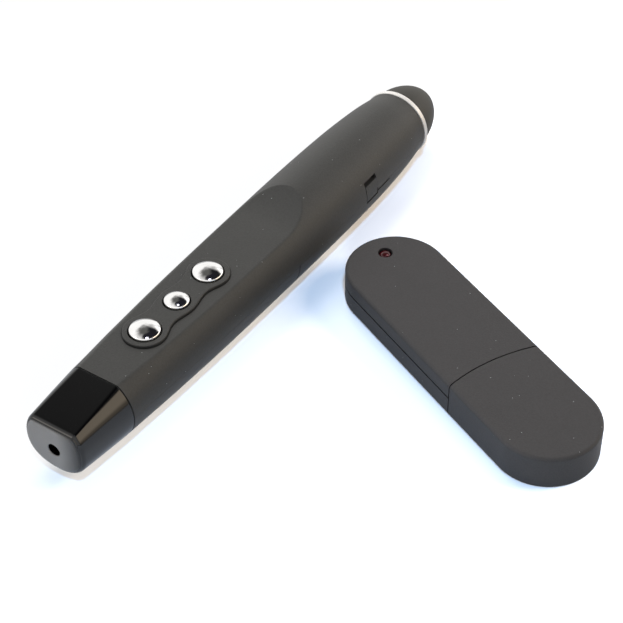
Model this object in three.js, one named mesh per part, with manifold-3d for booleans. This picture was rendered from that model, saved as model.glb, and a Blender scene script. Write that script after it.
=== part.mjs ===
// Wireless presenter: a laser pointer pen with three keys, lying beside its USB receiver
// Millimetres, +Z up, both pieces resting on Z = 0
import * as THREE from 'three';
import { mergeVertices } from 'three/addons/utils/BufferGeometryUtils.js';
import Module from 'manifold-3d';

const wasm = await Module();
wasm.setup();

// Clearances and shared walls
const gap = 0.3;
const overrun = 1;
const wall = 1.5;
const lipWall = 0.8;
const lipDepth = 1.2;

// Pen outline: lengths run along the axis from the nose face
const noseLength = 15.3;
const frontLength = 58.4;
const ringWidth = 1.6;
const tailLength = 12.3;
const barrelRadius = 10.6;
const flatDepth = 3.3;
const flatShare = 0.988;
const scoopRadius = 25;
const bodyPlaceShares = [0, 0.11, 0.247, 0.385, 0.523, 0.661, 0.765, 0.834, 0.894, 0.946, 1];
const bodyRadiusShares = [0.84, 0.895, 0.947, 0.975, 0.991, 1, 0.988, 0.966, 0.93, 0.882, 0.807];

// Nose cap: a squared D at the face, which runs into the round barrel
const noseFaceWidth = 15;
const noseFaceRise = 5.3;
const noseFaceDrop = 6.9;
const noseFaceCrown = 7;
const noseEdge = 0.7;
const noseWall = 2;
const noseSquareness = 2.5;
const roundness = 2;
const neckLength = 4;

// Laser module on an axis a little below the pen's own
const laserDrop = 1.15;
const apertureRadius = 1.5;
const laserRadius = 3.3;
const laserLength = 16;
const laserBore = 2.3;
const laserMouth = 1.7;
const laserMouthDepth = 1.2;
const lensThickness = 1.4;
const diodeLength = 3;
const diodeFlange = 1;
const socketLength = 5;
const socketWall = 1.2;
const saddleWidth = 1.6;

// Keys on their raised, three-lobed panel
const keyShares = [0.27, 0.46, 0.652];
const outerKeyRadius = 3.45;
const middleKeyRadius = 2.85;
const panelMargin = 1.45;
const panelRise = 0.6;
const panelBevel = 0.2;
const panelWaistWidth = 7;
const keyRim = 0.35;
const keyDome = 1.05;
const keyFlangeWidth = 0.7;
const keyFlangeThickness = 0.7;
const keyTravel = 0.3;
const keyStemRadius = 1.3;
const keyStemLength = 0.5;

// Push switches and the board that carries them
const switchWidth = 6;
const switchHeight = 2.8;
const plungerRadius = 1.5;
const plungerRise = 0.6;
const plungerSink = 0.9;
const boardThickness = 1.2;
const boardEndClearance = 2.2;
const boardScrewInset = 3.2;
const chipSize = 5;
const chipThickness = 0.9;
const inductorRadius = 2.4;
const inductorHeight = 2.6;
const crystalLength = 5;
const crystalWidth = 3.2;
const crystalHeight = 1.2;
const chipPlaceShare = 0.36;
const crystalPlaceShare = 0.54;
const inductorPlaceShare = 0.68;
const ribPlaceShares = [0.2, 0.8];
const ribWidth = 1.2;
const ribReach = 4;

// Screws
const screwRadius = 1;
const screwHeadRadius = 1.9;
const screwHeadHeight = 1.2;
const screwLength = 5;
const bossWall = 1.1;

// Battery compartment: one cell of 10.5 by 44.5 mm
const cellRadius = 5.25;
const cellLength = 44.5;
const cellTerminalRadius = 1.9;
const cellTerminalHeight = 0.9;
const cellDrop = 1.2;
const springLength = 4.6;
const springRadius = 3;
const springWireRadius = 0.35;
const springTurns = 4;
const contactThickness = 0.4;
const contactWidth = 7.2;
const cradleWall = 1.5;
const cradleBlock = 8;
const cradleDrop = 3.8;
const endWall = 1.6;
const doorOverlap = 5.5;
const doorRibShares = [0.3, 0.75];
const lugWidth = 9;
const lugThickness = 1.6;
const ledgeLength = 2.4;

// Battery door latch, one on each side
const latchWidth = 4.8;
const latchHeight = 3.8;
const latchSlot = 0.8;
const latchStep = 0.35;
const latchPlaceShare = 0.535;

// Tail ring and tail cap
const ringProud = 0.2;
const ringEdge = 0.35;
const spigotRadius = 4.4;
const tailFullness = 1.8;
const tailSeatShare = 0.93;

// USB receiver: lengths run from its middle towards the cap
const receiverLength = 79.4;
const receiverWidth = 23.5;
const receiverThickness = 8.6;
const receiverEdge = 0.8;
const receiverWall = 1.4;
const receiverParting = 4.9;
const receiverAcross = -53.4;
const receiverAlong = 75.4;
const receiverTurn = -114.6;
const capLength = 31.6;
const capArcRadius = 44;
const capEndWall = 3;
const lampInset = 5.8;
const lampOffset = 0.8;
const lampRadius = 1.25;
const lampRecess = 0.7;
const receiverBoardThickness = 1;
const receiverChipSpace = 5.6;
const receiverCrystalSpace = 0.75;
const receiverRibWidth = 1.2;

// USB plug
const plugWidth = 12;
const plugHeight = 4.5;
const plugOut = 14;
const plugIn = 5;
const plugWall = 0.35;
const plugWindow = 2.3;
const plugWindowPlace = 5.2;
const plugWindowSpread = 5;
const tongueThickness = 1.9;
const tongueInset = 0.6;
const padWidth = 1.1;
const padThickness = 0.25;
const padPitch = 2.4;
const padLength = 7.5;
const padCount = 4;

// Facets
const sectionSides = 40;
const bodyStations = 12;
const noseStations = 3;
const edgeSteps = 3;
const keySides = 24;
const domeSteps = 4;
const tailSteps = 8;
const springSteps = 10;
const wireSides = 3;
const smallSides = 16;
const arcSteps = 12;

// Places worked out from the sizes above
const doorFront = noseLength + frontLength;
const cradleStart = doorFront - doorOverlap;
const terminalRun = contactThickness + gap + gap;
const cradleLength = cradleBlock + terminalRun + springLength + gap + cellLength + terminalRun + cradleWall;
const cradleEnd = cradleStart + cradleLength;
const ringFront = cradleEnd + gap + endWall + gap;
const bodyLength = ringFront - noseLength;
const tailFront = ringFront + ringWidth + gap;
const penLength = ringFront + ringWidth + tailLength;
const flatEnd = noseLength + flatShare * frontLength;
const flatHeight = barrelRadius - flatDepth;
const ceiling = flatHeight - wall;
const springStart = cradleStart + cradleBlock + terminalRun;
const cellStart = springStart + springLength + gap;
const bodyRadiusAtSeam = barrelRadius * bodyRadiusShares[0];
const bodyRadiusAtRing = barrelRadius * bodyRadiusShares[bodyRadiusShares.length - 1];
const panelTop = flatHeight + panelRise;
const flangeTop = ceiling - gap;
const flangeLow = flangeTop - keyFlangeThickness;
const stemLow = flangeLow - keyStemLength;
const plungerTop = stemLow - gap;
const switchTop = plungerTop - plungerRise;
const boardTop = switchTop - switchHeight - gap;
const boardLow = boardTop - boardThickness;
const laserStart = noseWall + gap;
const laserEnd = laserStart + laserLength;
const boardStart = laserEnd + diodeFlange + gap + gap;
const boardEnd = cradleStart - boardEndClearance;
const lipInset = wall + gap + lipWall;
const lipLow = -gap / 2 - lipDepth;
const boardReach = bodyRadiusAtSeam - lipInset - gap;
const boardHalfWidth = Math.sqrt(boardReach ** 2 - Math.max(Math.abs(boardLow), Math.abs(boardTop)) ** 2);

// Materials
function material(color, roughness, metalness) {
  return new THREE.MeshStandardMaterial({ color, roughness, metalness });
}

const finishes = {
  softCharcoal: material(0x4b4c4d, 0.62, 0),
  glossBlack: material(0x0b0b0c, 0.08, 0),
  chrome: material(0xd6d6d8, 0.06, 1),
  tailGrey: material(0x3c3e3b, 0.6, 0),
  receiverGrey: material(0x46484b, 0.66, 0),
  innerBlack: material(0x17181a, 0.5, 0),
  brass: material(0xb08d4a, 0.3, 1),
  lens: material(0xd9c2c4, 0.05, 0),
  steel: material(0xb9bcc0, 0.3, 1),
  board: material(0x1c5a3a, 0.45, 0),
  cell: material(0x2f3336, 0.35, 0.4),
  lampRed: material(0x8c1020, 0.15, 0),
  plugWhite: material(0xe8e6e0, 0.4, 0),
  gold: material(0xd2a94e, 0.25, 1),
};

// Solids from geometry and back
function signedVolume(positions, triangles) {
  const corner = [new THREE.Vector3(), new THREE.Vector3(), new THREE.Vector3()];
  let volume = 0;
  for (let start = 0; start < triangles.length; start += 3) {
    corner.forEach((point, turn) => point.fromArray(positions, 3 * triangles[start + turn]));
    volume += corner[0].dot(corner[1].cross(corner[2])) / 6;
  }
  return volume;
}

function solidOf(geometry) {
  geometry.deleteAttribute('normal');
  geometry.deleteAttribute('uv');
  const merged = mergeVertices(geometry);
  const vertProperties = new Float32Array(merged.attributes.position.array);
  const triangles = Array.from(merged.index.array);
  const facesOut = signedVolume(vertProperties, triangles) > 0;
  const triVerts = new Uint32Array(facesOut ? triangles : triangles.reverse());
  return new wasm.Manifold(new wasm.Mesh({ numProp: 3, vertProperties, triVerts }));
}

function geometryOf(solid) {
  const mesh = solid.getMesh();
  const geometry = new THREE.BufferGeometry();
  geometry.setAttribute('position', new THREE.BufferAttribute(mesh.vertProperties, 3));
  geometry.setIndex(new THREE.BufferAttribute(mesh.triVerts, 1));
  geometry.computeVertexNormals();
  return geometry;
}

function addPiece(group, name, solid, finish) {
  const mesh = new THREE.Mesh(geometryOf(solid), finish.clone());
  mesh.name = name;
  group.add(mesh);
}

function box(low, high) {
  const size = high.map((value, axis) => value - low[axis]);
  const geometry = new THREE.BoxGeometry(...size);
  geometry.translate(...high.map((value, axis) => (value + low[axis]) / 2));
  return solidOf(geometry);
}

// A turned form: profile points are [distance along the axis, radius]
function turned(profile, sides) {
  const points = profile.map(([along, radius]) => new THREE.Vector2(radius, along));
  return new THREE.LatheGeometry(points, sides);
}

function turnedAlongX(profile, sides, y, z) {
  const geometry = turned(profile, sides);
  geometry.rotateZ(-Math.PI / 2);
  geometry.translate(0, y, z);
  return solidOf(geometry);
}

function turnedAlongZ(profile, sides, x, y) {
  const geometry = turned(profile, sides);
  geometry.rotateX(Math.PI / 2);
  geometry.translate(x, y, 0);
  return solidOf(geometry);
}

function rod(radius, start, end) {
  return [[start, 0], [start, radius], [end, radius], [end, 0]];
}

function extrudedUp(shape, low, high, options = {}) {
  const bevel = options.bevel ?? 0;
  const geometry = new THREE.ExtrudeGeometry(shape, {
    depth: high - low - 2 * bevel,
    bevelEnabled: bevel > 0,
    bevelThickness: bevel,
    bevelSize: bevel,
    bevelOffset: -bevel,
    bevelSegments: options.bevelSteps ?? 1,
    curveSegments: options.steps ?? arcSteps,
  });
  geometry.translate(0, 0, low + bevel);
  return solidOf(geometry);
}

// A closed skin over rings of points, with a flat cap at each end
function loft(rings) {
  const sides = rings[0].length;
  const positions = rings.flat().flatMap((point) => [point.x, point.y, point.z]);
  const centres = [rings[0], rings[rings.length - 1]].map((ring) => {
    const middle = new THREE.Vector3();
    ring.forEach((point) => middle.addScaledVector(point, 1 / sides));
    return middle;
  });
  centres.forEach((point) => positions.push(point.x, point.y, point.z));
  const firstCentre = rings.length * sides;
  const lastRing = (rings.length - 1) * sides;
  const index = [];
  for (let side = 0; side < sides; side += 1) {
    const next = (side + 1) % sides;
    for (let row = 0; row < lastRing; row += sides) {
      index.push(row + side, row + next, row + sides + next);
      index.push(row + side, row + sides + next, row + sides + side);
    }
    index.push(firstCentre, next, side);
    index.push(firstCentre + 1, lastRing + side, lastRing + next);
  }
  const geometry = new THREE.BufferGeometry();
  geometry.setAttribute('position', new THREE.Float32BufferAttribute(positions, 3));
  geometry.setIndex(index);
  return solidOf(geometry);
}

// The barrel's radius along the body, as one smooth curve
const bodyCurve = new THREE.SplineCurve(
  bodyPlaceShares.map((share, step) => new THREE.Vector2(share, bodyRadiusShares[step])),
);

function bodyRadius(x) {
  const share = THREE.MathUtils.clamp((x - noseLength) / bodyLength, 0, 1);
  const after = Math.max(1, bodyPlaceShares.findIndex((place) => place >= share));
  const before = bodyPlaceShares[after - 1];
  const along = (share - before) / (bodyPlaceShares[after] - before);
  const point = bodyCurve.getPoint((after - 1 + along) / (bodyPlaceShares.length - 1));
  return barrelRadius * Math.min(point.y, 1);
}

// One cross-section of the pen at x, moved in by inset
function penSection(x, inset) {
  const forward = THREE.MathUtils.clamp(x / noseLength, 0, 1);
  const lerp = THREE.MathUtils.lerp;
  const inNose = x < noseLength;
  const radius = bodyRadius(x);
  const halfWidth = inNose ? lerp(noseFaceWidth / 2, radius, forward) : radius;
  const crown = inNose ? lerp(noseFaceCrown, radius, forward) : radius;
  const drop = inNose ? lerp(noseFaceDrop, radius, forward) : radius;
  const power = 2 / (inNose ? lerp(noseSquareness, roundness, forward) : roundness);
  const ring = [];
  for (let side = 0; side < sectionSides; side += 1) {
    const angle = (side / sectionSides) * 2 * Math.PI;
    const across = Math.sign(Math.cos(angle)) * Math.abs(Math.cos(angle)) ** power;
    const up = Math.sign(Math.sin(angle)) * Math.abs(Math.sin(angle)) ** power;
    const reach = (up > 0 ? crown : drop) - inset;
    ring.push(new THREE.Vector3(x, (halfWidth - inset) * across, reach * up));
  }
  return ring;
}

function penStations(start, end) {
  const places = [];
  for (let step = 0; step <= noseStations; step += 1) {
    places.push((noseLength * step) / noseStations);
  }
  for (let step = 1; step <= bodyStations; step += 1) {
    places.push(noseLength + (bodyLength * step) / bodyStations);
  }
  const inside = places.filter((place) => place > start + gap && place < end - gap);
  return [start, ...inside, end];
}

// What the flat top and the thumb scoop take off the pen, lowered by inset
function topCutter(inset) {
  const low = flatHeight - inset;
  const shape = new THREE.Shape();
  const over = barrelRadius + overrun;
  shape.moveTo(-overrun, noseFaceRise - inset);
  shape.lineTo(0, noseFaceRise - inset);
  shape.lineTo(noseLength, low);
  shape.lineTo(flatEnd, low);
  const rise = Math.acos(1 - Math.min(flatDepth + inset + overrun, scoopRadius) / (scoopRadius + inset));
  const down = -Math.PI / 2;
  shape.absarc(flatEnd, flatHeight + scoopRadius, scoopRadius + inset, down, down + rise, false);
  shape.lineTo(shape.currentPoint.x, over + inset + scoopRadius);
  shape.lineTo(-overrun, over + inset + scoopRadius);
  const width = 2 * (barrelRadius + overrun);
  const geometry = new THREE.ExtrudeGeometry(shape, {
    depth: width,
    bevelEnabled: false,
    curveSegments: arcSteps,
  });
  geometry.rotateX(Math.PI / 2);
  geometry.translate(0, width / 2, 0);
  return solidOf(geometry);
}

// The pen's outer form between two places on its axis, moved in by inset
function penForm(inset, start, end) {
  const rings = penStations(start, end).map((x) => penSection(x, inset));
  return loft(rings).subtract(topCutter(inset));
}

function band(outerInset, innerInset, start, end) {
  return penForm(outerInset, start, end).subtract(penForm(innerInset, start - overrun, end + overrun));
}

const far = penLength + barrelRadius;
const upperHalf = box([-far, -far, gap / 2], [far, far, far]);
const lowerHalf = box([-far, -far, -far], [far, far, -gap / 2]);

function keyRadius(index) {
  return index === 1 ? middleKeyRadius : outerKeyRadius;
}

function keyPlace(index) {
  return noseLength + keyShares[index] * (doorFront - noseLength);
}

// Nose cap: shell, rounded face edge, aperture and the socket that holds the laser
function makeNoseCap() {
  const end = noseLength - gap / 2;
  const rings = [];
  for (let step = 0; step <= edgeSteps; step += 1) {
    const angle = (step / edgeSteps) * (Math.PI / 2);
    const x = noseEdge * (1 - Math.cos(angle));
    rings.push(penSection(x, noseEdge * (1 - Math.sin(angle))));
  }
  penStations(noseEdge, end).slice(1).forEach((x) => rings.push(penSection(x, 0)));
  let cap = loft(rings).subtract(topCutter(0));
  const slope = (flatHeight - noseFaceRise) / noseLength;
  const chamfer = new THREE.Shape();
  chamfer.moveTo(-overrun, noseFaceRise - noseEdge);
  chamfer.lineTo(0, noseFaceRise - noseEdge);
  chamfer.quadraticCurveTo(0, noseFaceRise, noseEdge, noseFaceRise + slope * noseEdge);
  chamfer.lineTo(noseEdge, noseFaceCrown + overrun);
  chamfer.lineTo(-overrun, noseFaceCrown + overrun);
  const width = noseFaceWidth + overrun;
  const geometry = new THREE.ExtrudeGeometry(chamfer, {
    depth: width,
    bevelEnabled: false,
    curveSegments: edgeSteps,
  });
  geometry.rotateX(Math.PI / 2);
  geometry.translate(0, width / 2, 0);
  cap = cap.subtract(solidOf(geometry));
  cap = cap.subtract(penForm(wall, noseWall, noseLength + overrun));
  const socket = turnedAlongX(
    rod(laserRadius + gap + socketWall, noseWall - gap, noseWall + socketLength),
    keySides,
    0,
    -laserDrop,
  );
  cap = cap.add(socket.intersect(penForm(wall / 2, 0, noseLength)));
  const seat = rod(laserRadius + gap, noseWall, noseWall + socketLength + overrun);
  cap = cap.subtract(turnedAlongX(seat, keySides, 0, -laserDrop));
  const aperture = rod(apertureRadius, -overrun, noseWall + overrun);
  return cap.subtract(turnedAlongX(aperture, smallSides, 0, -laserDrop));
}

// Half rings that enter the nose cap, and the rib that carries the laser
function neckAndSaddle() {
  const root = noseLength + gap / 2;
  const neck = band(wall + gap, lipInset, noseLength - neckLength, root + wall);
  const collar = band(wall / 2, lipInset, root, root + wall);
  const saddleStart = laserEnd - saddleWidth;
  const saddle = penForm(wall / 2, saddleStart, laserEnd);
  const seat = rod(laserRadius + gap, saddleStart - overrun, laserEnd + overrun);
  const rib = saddle.subtract(turnedAlongX(seat, keySides, 0, -laserDrop));
  return neck.add(collar).add(rib);
}

// Outline of the raised panel: a round end at each outer key and a cosine wave between the keys
function panelShape() {
  const waist = panelWaistWidth / 2;
  const lobes = keyShares.map((share, index) => ({
    x: keyPlace(index),
    reach: keyRadius(index) + panelMargin,
  }));
  const edge = [];
  lobes.slice(1).forEach((lobe, index) => {
    const before = lobes[index];
    for (let step = 1; step < arcSteps; step += 1) {
      const share = step / arcSteps;
      const nearer = share < 1 / 2 ? before : lobe;
      const swell = (1 + Math.cos(2 * Math.PI * share)) / 2;
      const x = THREE.MathUtils.lerp(before.x, lobe.x, share);
      edge.push([x, waist + (nearer.reach - waist) * swell]);
    }
    edge.push([lobe.x, lobe.reach]);
  });
  edge.pop();
  const first = lobes[0];
  const last = lobes[lobes.length - 1];
  const shape = new THREE.Shape();
  shape.absarc(first.x, 0, first.reach, Math.PI / 2, (3 * Math.PI) / 2, false);
  edge.forEach(([x, y]) => shape.lineTo(x, -y));
  shape.absarc(last.x, 0, last.reach, -Math.PI / 2, Math.PI / 2, false);
  edge.reverse().forEach(([x, y]) => shape.lineTo(x, y));
  return shape;
}

function latchSpan(clearance) {
  const middle = doorFront + latchPlaceShare * (ringFront - doorFront);
  return [middle - latchWidth / 2 - clearance, middle + latchWidth / 2 + clearance];
}

function boardPlace(share) {
  return boardStart + share * (boardEnd - boardStart);
}

const boardScrewPlaces = [boardStart + boardScrewInset, boardEnd - boardScrewInset];

// Upper housing: half shell with the flat, the thumb scoop, the key panel and the latch windows
function makeUpperHousing() {
  const start = noseLength + gap / 2;
  const end = ringFront - gap;
  const lipStart = boardStart;
  const lipEnd = end - endWall;
  let housing = band(0, wall, start, end).intersect(upperHalf);
  housing = housing.add(neckAndSaddle().intersect(upperHalf));
  housing = housing.add(extrudedUp(panelShape(), ceiling + wall / 2, panelTop, { bevel: panelBevel }));
  const lipTop = gap / 2 + lipWall;
  const lipRoot = band(wall / 2, lipInset, lipStart, lipEnd)
    .intersect(box([-far, -far, gap / 2], [far, far, lipTop]));
  const lip = band(wall + gap, lipInset, lipStart, lipEnd)
    .intersect(box([-far, -far, lipLow], [far, far, lipTop]));
  housing = housing.add(lipRoot).add(lip);
  const bulkhead = penForm(wall + gap, lipEnd, end).add(penForm(wall / 2, lipEnd, end).intersect(upperHalf));
  housing = housing.add(bulkhead);
  const spigotHole = rod(spigotRadius + gap, lipEnd - overrun, end + overrun);
  housing = housing.subtract(turnedAlongX(spigotHole, sectionSides, 0, 0));
  boardScrewPlaces.forEach((x) => {
    const boss = rod(screwRadius + gap + bossWall, boardTop + gap, ceiling + wall / 2);
    const bore = rod(screwRadius + gap, boardTop, boardLow + screwLength);
    housing = housing.add(turnedAlongZ(boss, smallSides, x, 0));
    housing = housing.subtract(turnedAlongZ(bore, smallSides, x, 0));
  });
  keyShares.forEach((share, index) => {
    const hole = rod(keyRadius(index) + gap, ceiling - overrun, panelTop + overrun);
    housing = housing.subtract(turnedAlongZ(hole, keySides, keyPlace(index), 0));
  });
  const [latchStart, latchEnd] = latchSpan(gap);
  const windowTop = latchHeight + latchSlot;
  return housing.subtract(box([latchStart, -far, lipLow - overrun], [latchEnd, far, windowTop]));
}

// Lower front housing: half shell, board ribs, and the ledge and screw lug under the door
function makeLowerHousing() {
  const start = noseLength + gap / 2;
  const end = doorFront - gap / 2;
  let housing = band(0, wall, start, end).intersect(lowerHalf);
  housing = housing.add(neckAndSaddle().intersect(lowerHalf));
  ribPlaceShares.forEach((share) => {
    const x = boardPlace(share);
    const room = box([x, -ribReach, -far], [x + ribWidth, ribReach, boardLow - gap]);
    housing = housing.add(penForm(wall / 2, x, x + ribWidth).intersect(room));
  });
  const belowLip = box([-far, -far, -far], [far, far, lipLow - gap]);
  const ledgeRoot = band(wall / 2, lipInset, doorFront - ledgeLength, end);
  const ledge = band(wall + gap, lipInset, doorFront - ledgeLength, doorFront + ledgeLength);
  housing = housing.add(ledgeRoot.add(ledge).intersect(belowLip));
  const lugTop = -cradleDrop - gap;
  const lugLow = lugTop - lugThickness;
  const shelf = penForm(wall + gap, doorFront - ledgeLength, doorFront + ledgeLength)
    .intersect(box([-far, -far, lugLow], [far, far, lugTop]));
  const lugEnd = cradleStart + cradleBlock;
  const lug = box([doorFront, -lugWidth / 2, lugLow], [lugEnd, lugWidth / 2, lugTop]);
  const bore = rod(screwRadius + gap, lugLow - overrun, lugTop + overrun);
  housing = housing.add(shelf).add(lug);
  return housing.subtract(turnedAlongZ(bore, smallSides, (doorFront + lugEnd) / 2, 0));
}

// Battery door: half shell with inner ribs and a snap latch on each side
function makeBatteryDoor() {
  const start = doorFront + gap / 2;
  const end = ringFront - gap;
  let door = band(0, wall, start, end).intersect(lowerHalf);
  doorRibShares.forEach((share) => {
    const x = doorFront + share * (ringFront - doorFront);
    const rib = band(wall / 2, wall + lipWall, x, x + ribWidth);
    door = door.add(rib.intersect(box([-far, -far, -far], [far, far, lipLow - gap])));
  });
  const [latchStart, latchEnd] = latchSpan(0);
  const latch = band(latchStep, wall, latchStart, latchEnd);
  return door.add(latch.intersect(box([-far, -far, lipLow], [far, far, latchHeight])));
}

// Battery cradle: a trough open downwards, with an end block for the housing screw
function makeCradle() {
  const cradle = penForm(lipInset + gap, cradleStart, cradleEnd);
  const trough = cradle.intersect(box([-far, -far, -cellDrop], [far, far, far]));
  const ends = cradle.intersect(box([-far, -far, -cradleDrop], [far, far, far]));
  const roomStart = cradleStart + cradleBlock;
  const roomEnd = cradleEnd - cradleWall;
  const reach = cellRadius + gap;
  const room = turnedAlongX(rod(reach, roomStart, roomEnd), keySides, 0, -cellDrop)
    .add(box([roomStart, -reach, -far], [roomEnd, reach, -cellDrop]));
  const between = box([roomStart, -far, -far], [roomEnd, far, -cellDrop]);
  const solid = trough.add(ends.subtract(between)).subtract(room);
  const lugEnd = cradleStart + cradleBlock;
  const bore = rod(screwRadius + gap, -far, screwLength - cradleDrop - lugThickness);
  return solid.subtract(turnedAlongZ(bore, smallSides, (doorFront + lugEnd) / 2, 0));
}

function makeCell() {
  const shoulder = cellStart + cellLength - cellTerminalHeight;
  const edge = gap;
  return turnedAlongX(
    [
      [cellStart, 0],
      [cellStart, cellRadius - edge],
      [cellStart + edge, cellRadius],
      [shoulder - edge, cellRadius],
      [shoulder, cellRadius - edge],
      [shoulder, cellTerminalRadius],
      [cellStart + cellLength, cellTerminalRadius],
      [cellStart + cellLength, 0],
    ],
    keySides,
    0,
    -cellDrop,
  );
}

function makeContact(start) {
  const half = contactWidth / 2;
  return box([start, -half, -cellDrop - half], [start + contactThickness, half, -cellDrop + half]);
}

// A cone-shaped contact spring: one wire on a helix that narrows towards the cell
class SpringPath extends THREE.Curve {
  getPoint(share, target = new THREE.Vector3()) {
    const angle = share * springTurns * 2 * Math.PI;
    const radius = springRadius * (1 - share / 3);
    const reach = springLength - 2 * springWireRadius;
    const x = springStart + springWireRadius + share * reach;
    return target.set(x, radius * Math.cos(angle), radius * Math.sin(angle) - cellDrop);
  }
}

function makeSpring() {
  const wire = new THREE.Shape();
  wire.absarc(0, 0, springWireRadius, 0, 2 * Math.PI, false);
  return solidOf(new THREE.ExtrudeGeometry(wire, {
    steps: springTurns * springSteps,
    curveSegments: wireSides,
    extrudePath: new SpringPath(),
    bevelEnabled: false,
  }));
}

function makeTailRing() {
  const outer = bodyRadiusAtRing + ringProud;
  const inner = spigotRadius + gap;
  const end = ringFront + ringWidth;
  return turnedAlongX(
    [
      [ringFront, inner],
      [ringFront, outer - ringEdge],
      [ringFront + ringEdge, outer],
      [end - ringEdge, outer],
      [end, outer - ringEdge],
      [end, inner],
      [ringFront, inner],
    ],
    sectionSides,
    0,
    0,
  );
}

// Tail cap: a blunt bullet with a spigot through the ring into the bulkhead
function makeTailCap() {
  const seat = bodyRadiusAtRing * tailSeatShare;
  const length = penLength - tailFront;
  const profile = [
    [ringFront - gap - endWall, 0],
    [ringFront - gap - endWall, spigotRadius],
    [tailFront, spigotRadius],
  ];
  for (let step = 0; step <= tailSteps; step += 1) {
    const angle = (step / tailSteps) * (Math.PI / 2);
    const along = Math.sin(angle) ** (2 / tailFullness);
    const out = step === tailSteps ? 0 : Math.cos(angle) ** (2 / tailFullness);
    profile.push([tailFront + length * along, seat * out]);
  }
  return turnedAlongX(profile, sectionSides, 0, 0);
}

// Laser module
function makeLaserBarrel() {
  const body = turnedAlongX(rod(laserRadius, laserStart, laserEnd), keySides, 0, -laserDrop);
  const bore = rod(laserBore, laserStart + laserMouthDepth, laserEnd + overrun);
  const mouth = rod(laserMouth, laserStart - overrun, laserEnd);
  return body
    .subtract(turnedAlongX(bore, smallSides, 0, -laserDrop))
    .subtract(turnedAlongX(mouth, smallSides, 0, -laserDrop));
}

function makeLaserLens() {
  const start = laserStart + laserMouthDepth + gap;
  return turnedAlongX(rod(laserBore - gap, start, start + lensThickness), smallSides, 0, -laserDrop);
}

function makeLaserDiode() {
  const can = rod(laserBore - gap, laserEnd - diodeLength, laserEnd + gap + diodeFlange);
  const flange = rod(laserRadius - gap, laserEnd + gap, laserEnd + gap + diodeFlange);
  return turnedAlongX(can, smallSides, 0, -laserDrop)
    .add(turnedAlongX(flange, smallSides, 0, -laserDrop));
}

// Keys, switches and board
function makeKey(index) {
  const radius = keyRadius(index);
  const rimTop = panelTop + keyRim;
  const sphere = (radius ** 2 + keyDome ** 2) / (2 * keyDome);
  const spread = Math.asin(radius / sphere);
  const profile = [
    [stemLow, 0],
    [stemLow, keyStemRadius],
    [flangeLow, keyStemRadius],
    [flangeLow, radius + keyFlangeWidth],
    [flangeTop, radius + keyFlangeWidth],
    [flangeTop, radius],
  ];
  for (let step = 0; step <= domeSteps; step += 1) {
    const angle = spread * (1 - step / domeSteps);
    const out = step === domeSteps ? 0 : sphere * Math.sin(angle);
    profile.push([rimTop + keyDome - sphere * (1 - Math.cos(angle)), out]);
  }
  return turnedAlongZ(profile, keySides, keyPlace(index), 0);
}

function makeSwitch(index) {
  const x = keyPlace(index);
  const half = switchWidth / 2;
  const body = box([x - half, -half, boardTop + gap], [x + half, half, switchTop]);
  const well = rod(plungerRadius + gap, switchTop - plungerSink - keyTravel - gap, switchTop + overrun);
  return body.subtract(turnedAlongZ(well, smallSides, x, 0));
}

function makePlunger(index) {
  const profile = rod(plungerRadius, switchTop - plungerSink, plungerTop);
  return turnedAlongZ(profile, smallSides, keyPlace(index), 0);
}

function makeBoard() {
  let board = box([boardStart, -boardHalfWidth, boardLow], [boardEnd, boardHalfWidth, boardTop]);
  boardScrewPlaces.forEach((x) => {
    const hole = rod(screwRadius + gap, boardLow - overrun, boardTop + overrun);
    board = board.subtract(turnedAlongZ(hole, smallSides, x, 0));
  });
  return board;
}

function makeScrew(x, headTop) {
  return turnedAlongZ(
    [
      [headTop - screwHeadHeight, 0],
      [headTop - screwHeadHeight, screwHeadRadius],
      [headTop, screwHeadRadius],
      [headTop, screwRadius],
      [headTop + screwLength, screwRadius],
      [headTop + screwLength, 0],
    ],
    smallSides,
    x,
    0,
  );
}

function underBoard(share, length, width, height) {
  const x = boardPlace(share);
  const top = boardLow - gap;
  return box([x - length / 2, -width / 2, top - height], [x + length / 2, width / 2, top]);
}

function makeInductor() {
  const top = boardLow - gap;
  const profile = rod(inductorRadius, top - inductorHeight, top);
  return turnedAlongZ(profile, smallSides, boardPlace(inductorPlaceShare), 0);
}

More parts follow.
